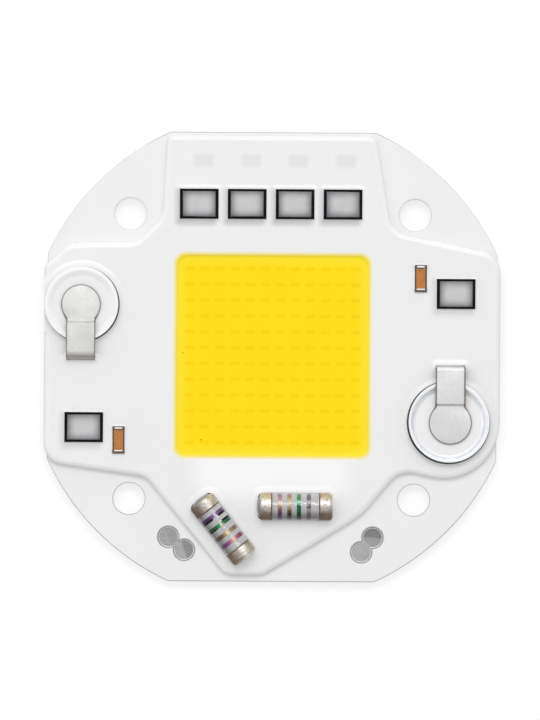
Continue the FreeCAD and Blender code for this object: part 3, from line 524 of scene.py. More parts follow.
def make_box_group():
    """A mask that is 1 inside a rectangle and fades to 0 over Soft."""
    tree, given, result = new_group(
        "Soft Box", ("Mask", FLOAT), Centre=(VECTOR, (0, 0, 0)), Half=(VECTOR, (0.001, 0.001, 1)),
        Soft=(FLOAT, 0.0003))
    away = vector_maths(tree, "SUBTRACT", place_of(tree), given["Centre"])
    past = vector_maths(tree, "SUBTRACT", vector_maths(tree, "ABSOLUTE", away), given["Half"])
    beyond = vector_maths(tree, "LENGTH", vector_maths(tree, "MAXIMUM", past, (0, 0, 0)))
    share = maths(tree, "DIVIDE", beyond, given["Soft"], clamp=True)
    feed(tree, result, i0=maths(tree, "SUBTRACT", 1.0, share))


def make_across_group():
    """Where a point lies across a round body: -1 at one side, 1 at the side that Way points to."""
    tree, given, result = new_group(
        "Across", ("Share", FLOAT), Centre=(VECTOR, (0, 0, 0)), Way=(VECTOR, (0, 1, 0)),
        Radius=(FLOAT, 0.0017))
    away = vector_maths(tree, "SUBTRACT", place_of(tree), given["Centre"])
    side = vector_maths(tree, "DOT_PRODUCT", away, given["Way"])
    feed(tree, result, i0=maths(tree, "DIVIDE", side, given["Radius"]))


def make_groups():
    for maker in (make_tone_group, make_relief_group, make_speck_group, make_disc_group,
                  make_box_group, make_across_group):
        maker()


def new_material(name, **values):
    """A material whose shader has these constants; returns it with its tree."""
    material = bpy.data.materials.new(name)
    material.use_nodes = True
    tree = material.node_tree
    feed(tree, tree.nodes["Principled BSDF"], **values)
    return material, tree


def coloured(material, tone, **inputs):
    """Link a tone, and what else is given, to the material's shader."""
    tree = material.node_tree
    feed(tree, tree.nodes["Principled BSDF"], Base_Color=tone, **inputs)
    return material


def coated(material, tone, scale, depth, detail=2.0, stretch=(1, 1, 1), **inputs):
    """The same with fine bumps, whose depth is in millimetres."""
    bumps = use_group(material.node_tree, "Fine Relief", Scale=scale, Depth=depth * MM,
                      Stretch=stretch, Detail=detail)
    return coloured(material, tone, Normal=bumps, **inputs)


def toned(tree, light, dark, scale):
    return use_group(tree, "Cloudy Tone", Light=rgba(light), Dark=rgba(dark), Scale=scale)


def shade(value, factor):
    """A lighter or darker colour."""
    return tuple(min(channel * factor, 1.0) for channel in value[:3])


def disc_mask(tree, centre, radius, soft):
    return use_group(tree, "Soft Disc", Centre=(centre[0], centre[1], 0), Radius=radius, Soft=soft)


def box_mask(tree, centre, half_x, half_y, soft):
    return use_group(tree, "Soft Box", Centre=(centre[0], centre[1], 0),
                     Half=(half_x, half_y, 1.0), Soft=soft)


def across(tree, centre, turn, radius):
    """The place across a round body, along the way that this turn about Z points to."""
    return use_group(tree, "Across", Centre=(centre[0], centre[1], 0), Radius=radius,
                     Way=(math.cos(turn), math.sin(turn), 0))


def any_of(tree, masks):
    """The greatest of some masks."""
    greatest = 0.0
    for mask in masks:
        greatest = maths(tree, "MAXIMUM", mask, greatest)
    return greatest


# Finishes

def white_silicone(name, white):
    """Glossy white potting with a slightly uneven skin, and a painted pool of light just below the
    light field.
    """
    material, tree = new_material(name, Roughness=0.22, Specular_IOR_Level=0.5)
    tone = toned(tree, white, shade(white, 0.985), 160.0)
    # A painted pool of light just below the light field
    pale = box_mask(tree, (FIELD_MIDDLE.x, FIELD_LOW.y - 2.6 * MM), 8.0 * MM, 1.2 * MM, 4.5 * MM)
    tone = blend(tree, ramp(tree, pale, 0.0, 1.0), tone, shade(white, 1.105))
    coated(material, tone, 220.0, 0.02, detail=1.0)
    return material, tree, tone


def painted_package_shade(tree, tone):
    """Paint shade on the white next to each package, shifted towards the lower left and fainter beside
    the rectifiers.
    """
    lean = Vector((0.4, 0.4, 0)) * MM
    shadows = []
    for node in PACKAGES:
        size = extent(node)
        near = box_mask(tree, middle(node) - lean, size.x / 2 - 0.4 * MM, size.y / 2 - 0.1 * MM,
                        1.0 * MM)
        depth = 0.55 if node in RECTIFIERS else 1.0
        shadows.append(ramp(tree, near, 0.0, 1.0, 0.0, depth))
    return multiplied(tree, tone, blend(tree, any_of(tree, shadows), (1, 1, 1),
                                        (0.70, 0.70, 0.715)))


def skirt_finish(white):
    """Potting that climbs the parts, with painted shade next to each package."""
    material, tree, tone = white_silicone("White skirts", white)
    return coloured(material, painted_package_shade(tree, tone))


def potting_finish(white):
    """White potting with the faint grey marks of the set resistors buried in it, its slopes painted
    lighter against their shade, and painted shade next to each package.
    """
    material, tree, tone = white_silicone("White potting", white)
    blur = 0.22 * MM
    for node in SET_RESISTORS:
        size = extent(node)
        mark = box_mask(tree, middle(node), size.x / 2 - blur, size.y / 2 - blur, 0.72 * MM)
        faint = ramp(tree, mark, 0.0, 1.0, 0.0, 0.42)
        tone = blend(tree, faint, tone, (white[0] * 0.77, white[1] * 0.775, white[2] * 0.80))
    # Painted light: faces that slope are painted lighter, to lift the shade they fall into
    split = tree.nodes.new("ShaderNodeSeparateXYZ")
    feed(tree, split, Vector=tree.nodes.new("ShaderNodeNewGeometry").outputs["Normal"])
    slope = ramp(tree, split.outputs["Z"], 0.985, 0.75)
    tone = blend(tree, slope, tone, (0.94, 0.94, 0.94))
    return coloured(material, painted_package_shade(tree, tone))


def dam_finish(white, glow):
    """White dam with a painted yellow glow of the phosphor's light next to the window."""
    material, tree, tone = white_silicone("White dam", white)
    near = window_mask(tree, 0.0, 0.42 * MM)
    return coloured(material, blend(tree, near, tone, glow))


def window_mask(tree, inset, soft):
    """A mask that is 1 in the light window and fades out over Soft, from inset inside its edge."""
    corner = max(1.3 * MM - inset, 0.2 * MM)
    half_x, half_y = (side / 2 - inset - corner for side in FIELD_SIZE[:2])
    box = box_mask(tree, FIELD_MIDDLE, half_x, half_y, corner + soft)
    return maths(tree, "DIVIDE", box, soft / (corner + soft), clamp=True)


def mask_finish(white):
    """White board lacquer: satin, with the fine orange peel of a printed coat."""
    material, tree = new_material("White board lacquer", Roughness=0.38, Specular_IOR_Level=0.4)
    tone = toned(tree, white, shade(white, 0.97), 120.0)
    # The web between two spots is painted dark where their outlines merge, in the tones of the spots'
    # painted edge shade
    for pair in SPOTS:
        tone = blend(tree, neck_mask(tree, pair, 0.72 * MM), tone, (0.30, 0.30, 0.305))
        tone = blend(tree, neck_mask(tree, pair, 0.60 * MM), tone, (0.40, 0.40, 0.405))
    specks = use_group(tree, "Specks", Scale=500.0, Size=0.05, Share=0.04)
    return coated(material, blend(tree, specks, tone, shade(white, 0.8)), 2500.0, 0.004)


def plain_finish(name, value, roughness, scale, **extra):
    """A clouded tone with fine relief, for coats, ceramics and plain metals."""
    material, tree = new_material(name, Roughness=roughness, **extra)
    return coated(material, toned(tree, value, shade(value, 0.9), scale), scale * 4, 0.004)


def insulation_finish():
    """Insulating layer: a thin line round the mask, darker along the plate's two end flats."""
    material, tree = new_material("Insulating layer", Roughness=0.6)
    share = across(tree, (0, 0), math.pi / 2, PLATE_RADIUS)
    tone = toned(tree, (1, 1, 1), (0.9, 0.9, 0.9), 700.0)
    dull, pale = (0.58, 0.58, 0.59), (0.80, 0.80, 0.81)
    sides = graded(tree, share, ((-0.7, dull), (-0.1, pale), (0.84, pale), (0.89, dull)))
    return coated(material, multiplied(tree, tone, sides), 2800.0, 0.004)


def aluminium_finish():
    """Rolled aluminium: long fine lines along X, a few pits, and the duller faces of the spots, with
    painted light and shade on them.
    """
    material, tree = new_material("Rolled aluminium", Metallic=1.0)
    lines_stretch = (60.0, 2600.0, 600.0)
    lines = noise(tree, 1.0, 4.0, point=stretched(tree, lines_stretch))
    tone = blend(tree, lines, (0.55, 0.555, 0.565), (0.78, 0.785, 0.79))
    for pair in SPOTS:
        tone = spots_tone(tree, tone, pair)
    pits = use_group(tree, "Specks", Scale=1400.0, Size=0.12, Share=0.12)
    return coated(material, blend(tree, pits, tone, (0.2, 0.2, 0.21)), 1.0, 0.006,
                  stretch=lines_stretch, Roughness=ramp(tree, lines, 0.2, 0.8, 0.34, 0.5))


# The milled spots in their two pairs: place in millimetres, tones of the two halves of the face, which
# are the painted light and painted shade of its turned reflection, and the turn of the half that is
# darker
SPOT_RADIUS = 1.425 * MM
SPOTS = (((-13.70, -24.10, 0.45, 0.41, 0.4), (-11.60, -25.80, 0.50, 0.34, 0.35)),
         ((13.55, -24.05, 0.40, 0.26, 1.5), (12.05, -26.00, 0.50, 0.47, 0.0)))


def neck_mask(tree, pair, width):
    """Mask of the web between two spots that meet."""
    first, second = (Vector(spot[:2]) * MM for spot in pair)
    return disc_mask(tree, (first + second) / 2, width, 0.1 * MM)


def spots_tone(tree, tone, pair):
    """Milled faces of two spots that meet: each face in a painted light half and a painted dark half
    for its turned reflection, a painted highlight ring and a painted shade at the edge.
    """
    grit = noise(tree, 2600.0, 4.0, 0.7)
    faces = (0.4, 0.4, 0.4)
    masks = [0.0, 0.0, 0.0]
    for x, y, light, dark, turn in pair:
        place = Vector((x, y)) * MM
        side = across(tree, place, turn, SPOT_RADIUS)
        face = blend(tree, ramp(tree, side, -0.08, 0.08), (light,) * 3, (dark,) * 3)
        discs = [disc_mask(tree, place, SPOT_RADIUS - back * MM, 0.05 * MM)
                 for back in (0.22, 0.10, -0.06)]
        faces = blend(tree, discs[2], faces, face)
        masks = [maths(tree, "MAXIMUM", disc, mask) for disc, mask in zip(discs, masks)]
    neck = neck_mask(tree, pair, 0.52 * MM)
    masks[:2] = [maths(tree, "MAXIMUM", neck, mask) for mask in masks[:2]]
    faces = multiplied(tree, faces, blend(tree, grit, (0.8, 0.8, 0.8), (1.15, 1.15, 1.15)))
    ring = blend(tree, masks[0], (0.84, 0.84, 0.85), faces)
    edge = blend(tree, masks[1], (0.10, 0.10, 0.105), ring)
    return blend(tree, masks[2], tone, edge)


def grained_metal(name, value, roughness, grain, depth, dark=0.86, metallic=1.0):
    """Plated metal with a fine sandy grain and small dull spots."""
    material, tree = new_material(name, Metallic=metallic)
    grit = noise(tree, grain, 4.0, 0.7)
    tone = blend(tree, ramp(tree, grit, 0.35, 0.65), shade(value, dark), value)
    dull = noise(tree, grain / 7, 2.0)
    tone = blend(tree, ramp(tree, dull, 0.45, 0.75), tone, shade(value, 0.93))
    coated(material, tone, grain, depth, detail=3.0,
           Roughness=ramp(tree, dull, 0.3, 0.7, roughness * 0.9, roughness * 1.1))
    return material, tree, tone


def phosphor_finish(settings, white):
    """Yellow phosphor: paler near the edge, thin at the rim, and a mark over each die."""
    material, tree = new_material("Phosphor", Roughness=0.42, Specular_IOR_Level=0.12)
    tone = blend(tree, window_mask(tree, 1.9 * MM, 1.9 * MM), settings.pale, settings.yellow)
    tone = blend(tree, window_mask(tree, 0.30 * MM, 0.36 * MM), settings.rim, tone)
    tone = blend(tree, window_mask(tree, 0.0, 0.42 * MM), white, tone)
    tone = blend(tree, maths(tree, "MULTIPLY", die_marks(tree), 0.85), tone, settings.die)
    cloud = toned(tree, (1, 1, 1), (0.985, 0.98, 0.97), 260.0)
    specks = use_group(tree, "Specks", Scale=420.0, Size=0.045, Share=0.05)
    tone = blend(tree, specks, multiplied(tree, tone, cloud), (0.25, 0.17, 0.01))
    return coated(material, tone, 900.0, 0.006)


def die_marks(tree):
    """Mask of two short ovals over each die of the grid."""
    columns, rows = 12, 12
    die = (1.15 * MM, 0.5 * MM)
    pitch = ((DIE_SPAN.x - die[0]) / (columns - 1), (DIE_SPAN.y - die[1]) / (rows - 1))
    centre = middle("led_dies")
    away = vector_maths(tree, "SUBTRACT", place_of(tree), (centre.x, centre.y, 0))
    steps = vector_maths(tree, "DIVIDE", away, (pitch[0], pitch[1], 1))
    cell = vector_maths(tree, "FLOOR", steps)
    cell = vector_maths(tree, "MAXIMUM", cell, (-columns / 2, -rows / 2, 0))
    cell = vector_maths(tree, "MINIMUM", cell, (columns / 2 - 1, rows / 2 - 1, 0))
    cell = vector_maths(tree, "ADD", cell, (0.5, 0.5, 0))
    away = vector_maths(tree, "MULTIPLY", vector_maths(tree, "SUBTRACT", steps, cell),
                        (pitch[0], pitch[1], 0))
    paired = vector_maths(tree, "SUBTRACT", vector_maths(tree, "ABSOLUTE", away),
                          (die[0] / 4, 0, 0))
    oval = vector_maths(tree, "DIVIDE", paired, (die[0] / 3.6, die[1] / 2, 1))
    mask = ramp(tree, vector_maths(tree, "LENGTH", oval), 1.45, 0.6)
    wander = noise(tree, 900.0, 2.0)
    return maths(tree, "MULTIPLY", mask, ramp(tree, wander, 0.2, 0.6, 0.55, 1.0))


def film_finish(settings):
    """Milky film: pale where it is thick, and darker where the black resin shows through."""
    material, tree = new_material("Milky film", Roughness=0.3, Specular_IOR_Level=0.3)
    films = []
    for node in PACKAGES:
        size, fall = extent(node), 1.45 * MM
        cores = (box_mask(tree, middle(node), size.x / 2 - 1.81 * MM, size.y, fall),
                 box_mask(tree, middle(node), size.x / 2, size.y / 2 - 1.73 * MM, fall))
        films.append(maths(tree, "MULTIPLY", *(
            maths(tree, "MULTIPLY", core, maths(tree, "SUBTRACT", 2.0, core)) for core in cores)))
    cloud = noise(tree, 900.0, 2.0)
    depth = maths(tree, "MULTIPLY_ADD", cloud, 0.2,
                  maths(tree, "SUBTRACT", any_of(tree, films), 0.08))
    tone = blend(tree, depth, settings.film_edge, settings.film_middle)
    haze = toned(tree, (1, 1, 1), (0.95, 0.95, 0.95), 500.0)
    return coated(material, multiplied(tree, tone, haze), 700.0, 0.006)


def resin_finish(black):
    """Black moulded resin with fine grains, a little worn grey."""
    material, tree = new_material("Black resin", Roughness=0.5, Specular_IOR_Level=0.05)
    specks = use_group(tree, "Specks", Scale=3800.0, Size=0.2, Share=0.2)
    tone = toned(tree, shade(black, 1.5), shade(black, 0.5), 900.0)
    return coated(material, blend(tree, specks, tone, (0.03, 0.03, 0.032)), 5200.0, 0.008)


def ceramic_finish():
    """Fired brown ceramic, darker along its long sides."""
    material, tree = new_material("Brown ceramic", Roughness=0.5, Specular_IOR_Level=0.15)
    inside = any_of(tree, [box_mask(tree, middle(node), extent(node).x / 2 - 0.23 * MM,
                                    extent(node).y, 0.09 * MM) for node in CAPACITORS])
    tone = toned(tree, (0.53, 0.215, 0.068), (0.42, 0.165, 0.052), 1600.0)
    return coated(material, blend(tree, inside, (0.13, 0.07, 0.045), tone), 6400.0, 0.004)


def plated_end_finish():
    """Dull plated ends, with a painted highlight line across each of them, where the rounded end
    catches the light.
    """
    material, tree, tone = grained_metal("Dull tin ends", (0.17, 0.135, 0.11), roughness=0.45,
                                         grain=2000.0, depth=0.006)
    # Painted highlight lines, one across each end
    lines = []
    for node in CAPACITORS:
        centre, half = middle(node + "_ends"), extent(node + "_ends").y / 2
        for y, wide in ((half - 0.24 * MM, 0.44 * MM), (-half + 0.42 * MM, 0.50 * MM)):
            lines.append(box_mask(tree, (centre.x, centre.y + y), wide, 0.035 * MM, 0.10 * MM))
    return coloured(material, blend(tree, any_of(tree, lines), tone, (1.0, 0.99, 0.97)))


def enamel(label, name, turn, gloss=0.4):
    """Glossy paint whose tone round the body holds painted light: a painted highlight on its upper
    side, painted shade below, and painted glints; its skin is uneven.
    """
    material, tree = new_material(label + " " + name, Roughness=0.16, Specular_IOR_Level=gloss)
    share = across(tree, middle("melf_" + name), turn + math.pi / 2, COAT_RADIUS)
    cloud = toned(tree, (1.0, 1.0, 1.0), (0.86, 0.86, 0.86), 1500.0)
    tone = multiplied(tree, graded(tree, share, ENAMELS[label]), cloud)
    # Painted glints along the highlight, scattered by noise
    aside = maths(tree, "ABSOLUTE", maths(tree, "SUBTRACT", share, 0.22))
    glint = maths(tree, "MULTIPLY", ramp(tree, aside, 0.20, 0.06),
                  ramp(tree, noise(tree, 3600.0, 2.0), 0.52, 0.66))
    return coated(material, blend(tree, glint, tone, (0.95, 0.95, 0.95)), 1300.0, 0.03)


def cap_finish(name, turn, settings):
    """Tinned cap with painted light round it: a painted highlight along its upper side, painted shade
    in brown below, and dark scratches.
    """
    material, tree = new_material("Tinned caps " + name, Metallic=1.0)
    centre = middle("melf_" + name)
    tone = graded(tree, across(tree, centre, turn + math.pi / 2, CAP_RADIUS), CAP_STOPS)
    grit = noise(tree, 1500.0, 4.0, 0.7)
    marks = noise(tree, 2300.0, point=stretched(tree, (1.0, 2.2, 1.0), 0.6))
    worn = blend(tree, ramp(tree, grit, 0.35, 0.65), (0.74, 0.72, 0.70), (1.08, 1.07, 1.06))
    worn = blend(tree, ramp(tree, marks, 0.61, 0.70), worn, (0.42, 0.38, 0.35))
    domed = settings.domed_cap + DOME
    inner = (MELF_LENGTH - domed - settings.blunt_cap) / 2
    along = across(tree, centre, turn, 1.0)
    reach = maths(tree, "ABSOLUTE", maths(tree, "SUBTRACT", along, (domed - settings.blunt_cap) / 2))
    seam = ramp(tree, reach, inner + 0.22 * MM, inner + 0.08 * MM)
    tone = blend(tree, seam, multiplied(tree, tone, worn), (0.16, 0.11, 0.08))
    return coated(material, tone, 2600.0, 0.06, detail=3.0,
                  Roughness=ramp(tree, grit, 0.3, 0.7, 0.36, 0.5))


# Tones from the lower side of a round resistor to its upper side, as (place across, colour); they hold
# painted shade below, a painted highlight where the key light's reflection falls, and a painted
# reflection of the potting at the lowest edge
CAP_STOPS = ((-1.0, (0.62, 0.54, 0.46)), (-0.9, (0.16, 0.12, 0.09)), (-0.7, (0.25, 0.19, 0.15)),
             (-0.4, (0.38, 0.32, 0.27)), (0.0, (0.68, 0.64, 0.61)), (0.3, (0.80, 0.77, 0.74)),
             (0.7, (0.72, 0.66, 0.54)), (1.0, (0.62, 0.56, 0.48)))
ENAMELS = {
    "Grey lacquer": ((-1.0, (0.62, 0.62, 0.63)), (-0.9, (0.16, 0.16, 0.165)),
                     (-0.7, (0.28, 0.28, 0.285)), (-0.3, (0.47, 0.47, 0.48)),
                     (0.1, (0.54, 0.53, 0.535)), (0.22, (0.60, 0.59, 0.59)),
                     (0.34, (0.52, 0.515, 0.52)), (1.0, (0.56, 0.56, 0.575))),
    "Magenta": ((-0.8, (0.08, 0.028, 0.07)), (-0.5, (0.11, 0.04, 0.09)), (-0.19, (0.22, 0.10, 0.10)),
                (0.1, (0.58, 0.34, 0.24)), (0.33, (0.82, 0.64, 0.48)), (0.55, (0.48, 0.29, 0.33)),
                (1.0, (0.28, 0.16, 0.23))),
    "Brown": ((-1.0, (0.08, 0.05, 0.03)), (-0.62, (0.03, 0.018, 0.009)),
              (-0.37, (0.10, 0.058, 0.024)), (0.0, (0.48, 0.33, 0.19)), (0.25, (0.76, 0.60, 0.42)),
              (0.6, (0.52, 0.38, 0.24)), (0.85, (0.34, 0.20, 0.18))),
    "Green": ((-0.85, (0.0, 0.012, 0.003)), (-0.5, (0.004, 0.07, 0.018)),
              (0.05, (0.008, 0.13, 0.04)), (0.25, (0.05, 0.40, 0.20)), (0.4, (0.32, 0.76, 0.58)),
              (0.6, (0.07, 0.23, 0.10)), (1.0, (0.12, 0.27, 0.12))),
    "Plum": ((-0.75, (0.09, 0.07, 0.06)), (-0.45, (0.19, 0.17, 0.15)), (-0.22, (0.34, 0.30, 0.27)),
             (-0.05, (0.10, 0.095, 0.095)), (0.2, (0.18, 0.18, 0.18)), (0.42, (0.40, 0.39, 0.41)),
             (0.6, (0.15, 0.14, 0.18)), (1.0, (0.20, 0.17, 0.24))),
    "Violet": ((-0.8, (0.035, 0.006, 0.05)), (-0.3, (0.085, 0.028, 0.12)),
               (0.05, (0.26, 0.13, 0.33)), (0.2, (0.78, 0.66, 0.80)), (0.36, (0.20, 0.10, 0.28)),
               (1.0, (0.10, 0.035, 0.15))),
    "Grass": ((-0.8, (0.002, 0.03, 0.01)), (-0.3, (0.01, 0.12, 0.04)), (0.0, (0.03, 0.36, 0.12)),
              (0.15, (0.82, 0.70, 0.56)), (0.32, (0.02, 0.20, 0.07)), (1.0, (0.004, 0.06, 0.02))),
    "Gold": ((-0.8, (0.07, 0.045, 0.022)), (-0.4, (0.13, 0.085, 0.04)), (-0.1, (0.42, 0.29, 0.17)),
             (0.15, (0.90, 0.72, 0.48)), (0.35, (0.40, 0.27, 0.16)), (1.0, (0.18, 0.11, 0.07))),
    "Rose": ((-0.8, (0.12, 0.03, 0.13)), (-0.3, (0.22, 0.07, 0.22)), (0.0, (0.56, 0.28, 0.25)),
             (0.2, (0.90, 0.62, 0.42)), (0.45, (0.42, 0.15, 0.20)), (1.0, (0.16, 0.03, 0.11))),
    "Black": ((-1.0, (0.006, 0.006, 0.008)), (0.1, (0.012, 0.012, 0.014)), (0.2, (0.2, 0.2, 0.2)),
              (0.3, (0.012, 0.012, 0.014)), (1.0, (0.006, 0.006, 0.008))),
}

# Colour bands of each round resistor: the enamel and the place along the body in millimetres
BANDS = {
    "straight": (("Magenta", -1.96), ("Brown", -0.69), ("Green", 0.58), ("Plum", 1.89)),
    "slanted": (("Violet", -2.02), ("Grass", -0.53), ("Gold", 0.87), ("Rose", 2.08)),
}

# Black marks beside the bands: the band's number, start and end in band widths, and the least and
# greatest normal.y of the faces they cover
BLACK_MARKS = {"slanted": ((0, 0.25, 0.8, -2.0, -0.1), (0, 0.25, 0.8, 0.4, 2.0),
                           (1, -0.8, -0.3, 0.4, 2.0), (1, 0.2, 0.5, -2.0, -0.35))}


def cup_rim_shade(tree, tone, side, shift_x, shift_y, radius):
    """Paint shade on a cup's outer edge, widest on the side that the shift points away from."""
    centre = middle("terminal_cup_" + side) + Vector((shift_x, shift_y, 0)) * MM
    inside = disc_mask(tree, centre, radius * MM, 0.05 * MM)
    return blend(tree, inside, (0.03, 0.03, 0.035), tone)


def potted_cup_finish():
    """Left cup: its inner slope is coated with white silicone and painted lighter on its upper side
    against its shade, and its edge has painted shade.
    """
    material, tree, tone = white_silicone("Potted cup", (0.92, 0.92, 0.925))
    share = across(tree, middle("terminal_cup_left"), math.pi / 2, 5.0 * MM)
    # Painted light: the upper side, which falls into shade, is painted lighter
    tone = blend(tree, ramp(tree, share, 0.1, 0.8), tone, (0.94, 0.94, 0.95))
    return coloured(material, cup_rim_shade(tree, tone, "left", -0.11, 0.08, 4.93))


def plated_cup_finish():
    """Right cup: bright plating with a painted bluish reflection in patches on its inner slope, and
    painted shade on its edge.
    """
    material, tree, tone = grained_metal("Plated cup", (0.97, 0.98, 1.0), roughness=0.35,
                                         grain=900.0, depth=0.002, dark=0.96, metallic=0.35)
    # A painted bluish reflection, in patches, in a band on the inner slope
    reflection_cloud = noise(tree, 900.0, 4.0, 0.6)
    band = maths(tree, "SUBTRACT", *(
        disc_mask(tree, middle("terminal_cup_right"), radius * MM, 0.12 * MM)
        for radius in (4.92, 4.58)))
    patchy_reflection = ramp(tree, reflection_cloud, 0.35, 0.65, 0.25, 0.85)
    tone = blend(tree, maths(tree, "MULTIPLY", band, patchy_reflection), tone, (0.62, 0.67, 0.74))
    return coloured(material, cup_rim_shade(tree, tone, "right", 0.09, 0.08, 5.37))


def contact_finish(side, metal, pad, tab, roughness, depth):
    """Contact strip: a flat pad, a rubbed tab, a darker outline along its edges, a painted highlight
    across its fold and painted light at its outer bend.
    """
    material, tree, tone = grained_metal(side.title() + " contact", metal, roughness,
                                         grain=2600.0, depth=depth, dark=0.93)
    low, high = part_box("contact_" + side)
    turn, tip, far = (1, low.y, high.y) if side == "left" else (-1, high.y, low.y)
    radius = (high.x - low.x) / 2
    x, y = (low.x + high.x) / 2, far - turn * radius
    fold = y - turn * PAD_TO_FOLD[side]
    half = TAB_WIDTH / 2
    disc = disc_mask(tree, (x, y), radius - 0.19 * MM, 0.13 * MM)
    strip = box_mask(tree, (x, (y + tip) / 2), half - 0.17 * MM, abs(y - tip) / 2 - 0.15 * MM,
                     0.1 * MM)
    beyond = box_mask(tree, (x, (fold + tip) / 2), TAB_WIDTH, abs(fold - tip) / 2, 0.02 * MM)
    scratch = noise(tree, 330.0, 2.0, point=stretched(tree, (1.0, 9.0, 1.0), -0.6))
    rubbed = blend(tree, ramp(tree, scratch, 0.66, 0.72), tab, tuple(value * 1.1 for value in tab))
    zone = blend(tree, beyond, pad, rubbed)
    # A painted highlight across the fold, where the bend catches the key light
    fold_highlight = box_mask(tree, (x, fold), half - 0.3 * MM, 0.06 * MM, 0.06 * MM)
    zone = blend(tree, fold_highlight, zone, (1.1, 1.1, 1.1))
    # Painted light at the outer bend: shade on the left contact, a highlight on the right one
    inset, reach, soft, bend_light_tone = BEND_LIGHT_AND_SHADE[side]
    bend = box_mask(tree, (x, tip + turn * (FOOT_LENGTH + inset)), TAB_WIDTH, reach, soft)
    zone = blend(tree, bend, zone, bend_light_tone)
    inside = maths(tree, "MAXIMUM", disc, strip)
    return coloured(material, blend(tree, inside, (0.25, 0.22, 0.20), multiplied(tree, tone, zone)))


# Pieces

def skirt(name, size_x, size_y, corner, reach, climb, foot, curve=cove):
    """Ring of potting round a part, as a hollow curve or a mound; centred on the origin."""
    piece = sheet(name, size_x + reach * 2, size_y + reach * 2)
    pick_all("VERT")
    bpy.ops.mesh.bevel(offset=corner + reach, segments=10, affect="VERTICES", profile=0.5)
    return climbed(piece, reach, climb, foot, curve)


def round_skirt(name, radius, reach, climb, foot):
    """The same ring round a circular wall."""
    bpy.ops.mesh.primitive_circle_add(vertices=128, radius=radius + reach, fill_type="NGON")
    piece = named(name)
    edit(piece)
    return climbed(piece, reach, climb, foot, cove)


def climbed(piece, reach, climb, foot, curve):
    """From a flat outline in edit mode: raise it, step it up inwards, and make it a closed ring."""
    depth = 0.15 * MM
    pick_all("FACE")
    extrude(depth)
    step_inwards(curve, 7, 7, reach, climb)
    extrude(-climb - depth)
    low = 0.001 * MM
    pick(piece, "FACE", lambda face: abs(face.calc_center_median().z) < low and len(face.verts) > 4)
    bpy.ops.mesh.delete(type="ONLY_FACE")
    pick(piece, "EDGE", lambda edge: edge.is_boundary)
    bpy.ops.mesh.bridge_edge_loops()
    bpy.ops.mesh.select_all(action="SELECT")
    bpy.ops.mesh.remove_doubles(threshold=0.0005 * MM)
    bpy.ops.mesh.normals_make_consistent(inside=False)
    leave()
    piece.location.z = foot - depth
    apply_place()
    return piece


def trimmed(piece, x, keep_left):
    """Cut the piece at a plane across X and close the cut."""
    edit(piece)
    bpy.ops.mesh.select_all(action="SELECT")
    bpy.ops.mesh.bisect(plane_co=(x, 0, 0), plane_no=(1, 0, 0), use_fill=True, threshold=TINY,
                        clear_outer=keep_left, clear_inner=not keep_left)
    leave()
    return piece


def make_film(name, node, rise):
    """Domed pillow, standing on the package's top, centred on the origin."""
    size = extent(node)
    margin = Vector((0.46, 0.38)) * MM
    piece = sheet(name, size.x - margin.x * 2, size.y - margin.y * 2)
    pick_all("EDGE")
    bpy.ops.mesh.subdivide(number_cuts=15)
    bpy.ops.mesh.select_all(action="SELECT")
    bpy.ops.mesh.dissolve_limited(angle_limit=math.radians(1), use_dissolve_boundaries=False)
    pick_all("FACE")
    extrude(0.01 * MM)
    step_inwards(dome, 6, 7, size.y / 2 - margin.y, rise)
    leave()
    return piece


def wavered(piece, distance, seed):
    """Let the piece's outline wander, by a cloud texture along X and Y."""
    texture = bpy.data.textures.new(piece.name + "_waver", "CLOUDS")
    texture.noise_scale = 0.9 * MM
    shift = bpy.data.objects.new(piece.name + "_seed", None)
    bpy.context.scene.collection.objects.link(shift)
    shift.location = (seed * 0.013, seed * 0.007, 0)
    bpy.context.view_layer.update()
    for direction in ("X", "Y"):
        add_modifier(piece, "DISPLACE", texture=texture, direction=direction,
                     texture_coords="OBJECT", texture_coords_object=shift, mid_level=0.5,
                     strength=distance * 2)
        shift.location.x += 0.01
        bpy.context.view_layer.update()
    bpy.data.objects.remove(shift)
    bpy.data.textures.remove(texture)
    return piece


def assign(piece, index, test):
    """In edit mode, give the faces that pass the test the material with this index."""
    pick(piece, "FACE", test)
    piece.active_material_index = index
    bpy.ops.object.material_slot_assign()


def band_plan(name, width):
    """Bands of a resistor: start, end, material index, and the least and greatest normal.y."""
    places = [x * MM for _, x in BANDS[name]]
    bands = [(x - width / 2, x + width / 2, index, -2.0, 2.0) for index, x in enumerate(places, 1)]
    for index, start, end, lower, upper in BLACK_MARKS.get(name, ()):
        bands.append((places[index] + width * start, places[index] + width * end,
                      len(places) + 1, lower, upper))
    return bands


def banded_body(name, settings, finishes):
    """Lacquered body along X with raised colour bands, between the inner edges of the caps."""
    tucked = 0.3 * MM
    bands = band_plan(name, settings.band_width)
    piece = rod(name + "_resistor_body", -MELF_LENGTH / 2 + DOME + settings.domed_cap - tucked,
                MELF_LENGTH / 2 - settings.blunt_cap + tucked, COAT_RADIUS)
    for finish in finishes:
        piece.data.materials.append(finish)
    edit(piece)
    for cut in sorted({cut for band in bands for cut in band[:2]}):
        bpy.ops.mesh.select_all(action="SELECT")
        bpy.ops.mesh.bisect(plane_co=(cut, 0, 0), plane_no=(1, 0, 0), threshold=TINY)
    slack = 0.001 * MM

    def within(face, start, end):
        return (start - slack < face.calc_center_median().x < end + slack
                and abs(face.normal.x) < 0.5)

    for start, end, index, lower, upper in bands:
        assign(piece, index,
               lambda face: within(face, start, end) and lower < face.normal.y < upper)
    pick(piece, "FACE", lambda face: any(within(face, *band[:2]) for band in bands))
    bpy.ops.mesh.extrude_region_shrink_fatten(
        TRANSFORM_OT_shrink_fatten={"value": settings.band_relief})
    leave()
    return piece


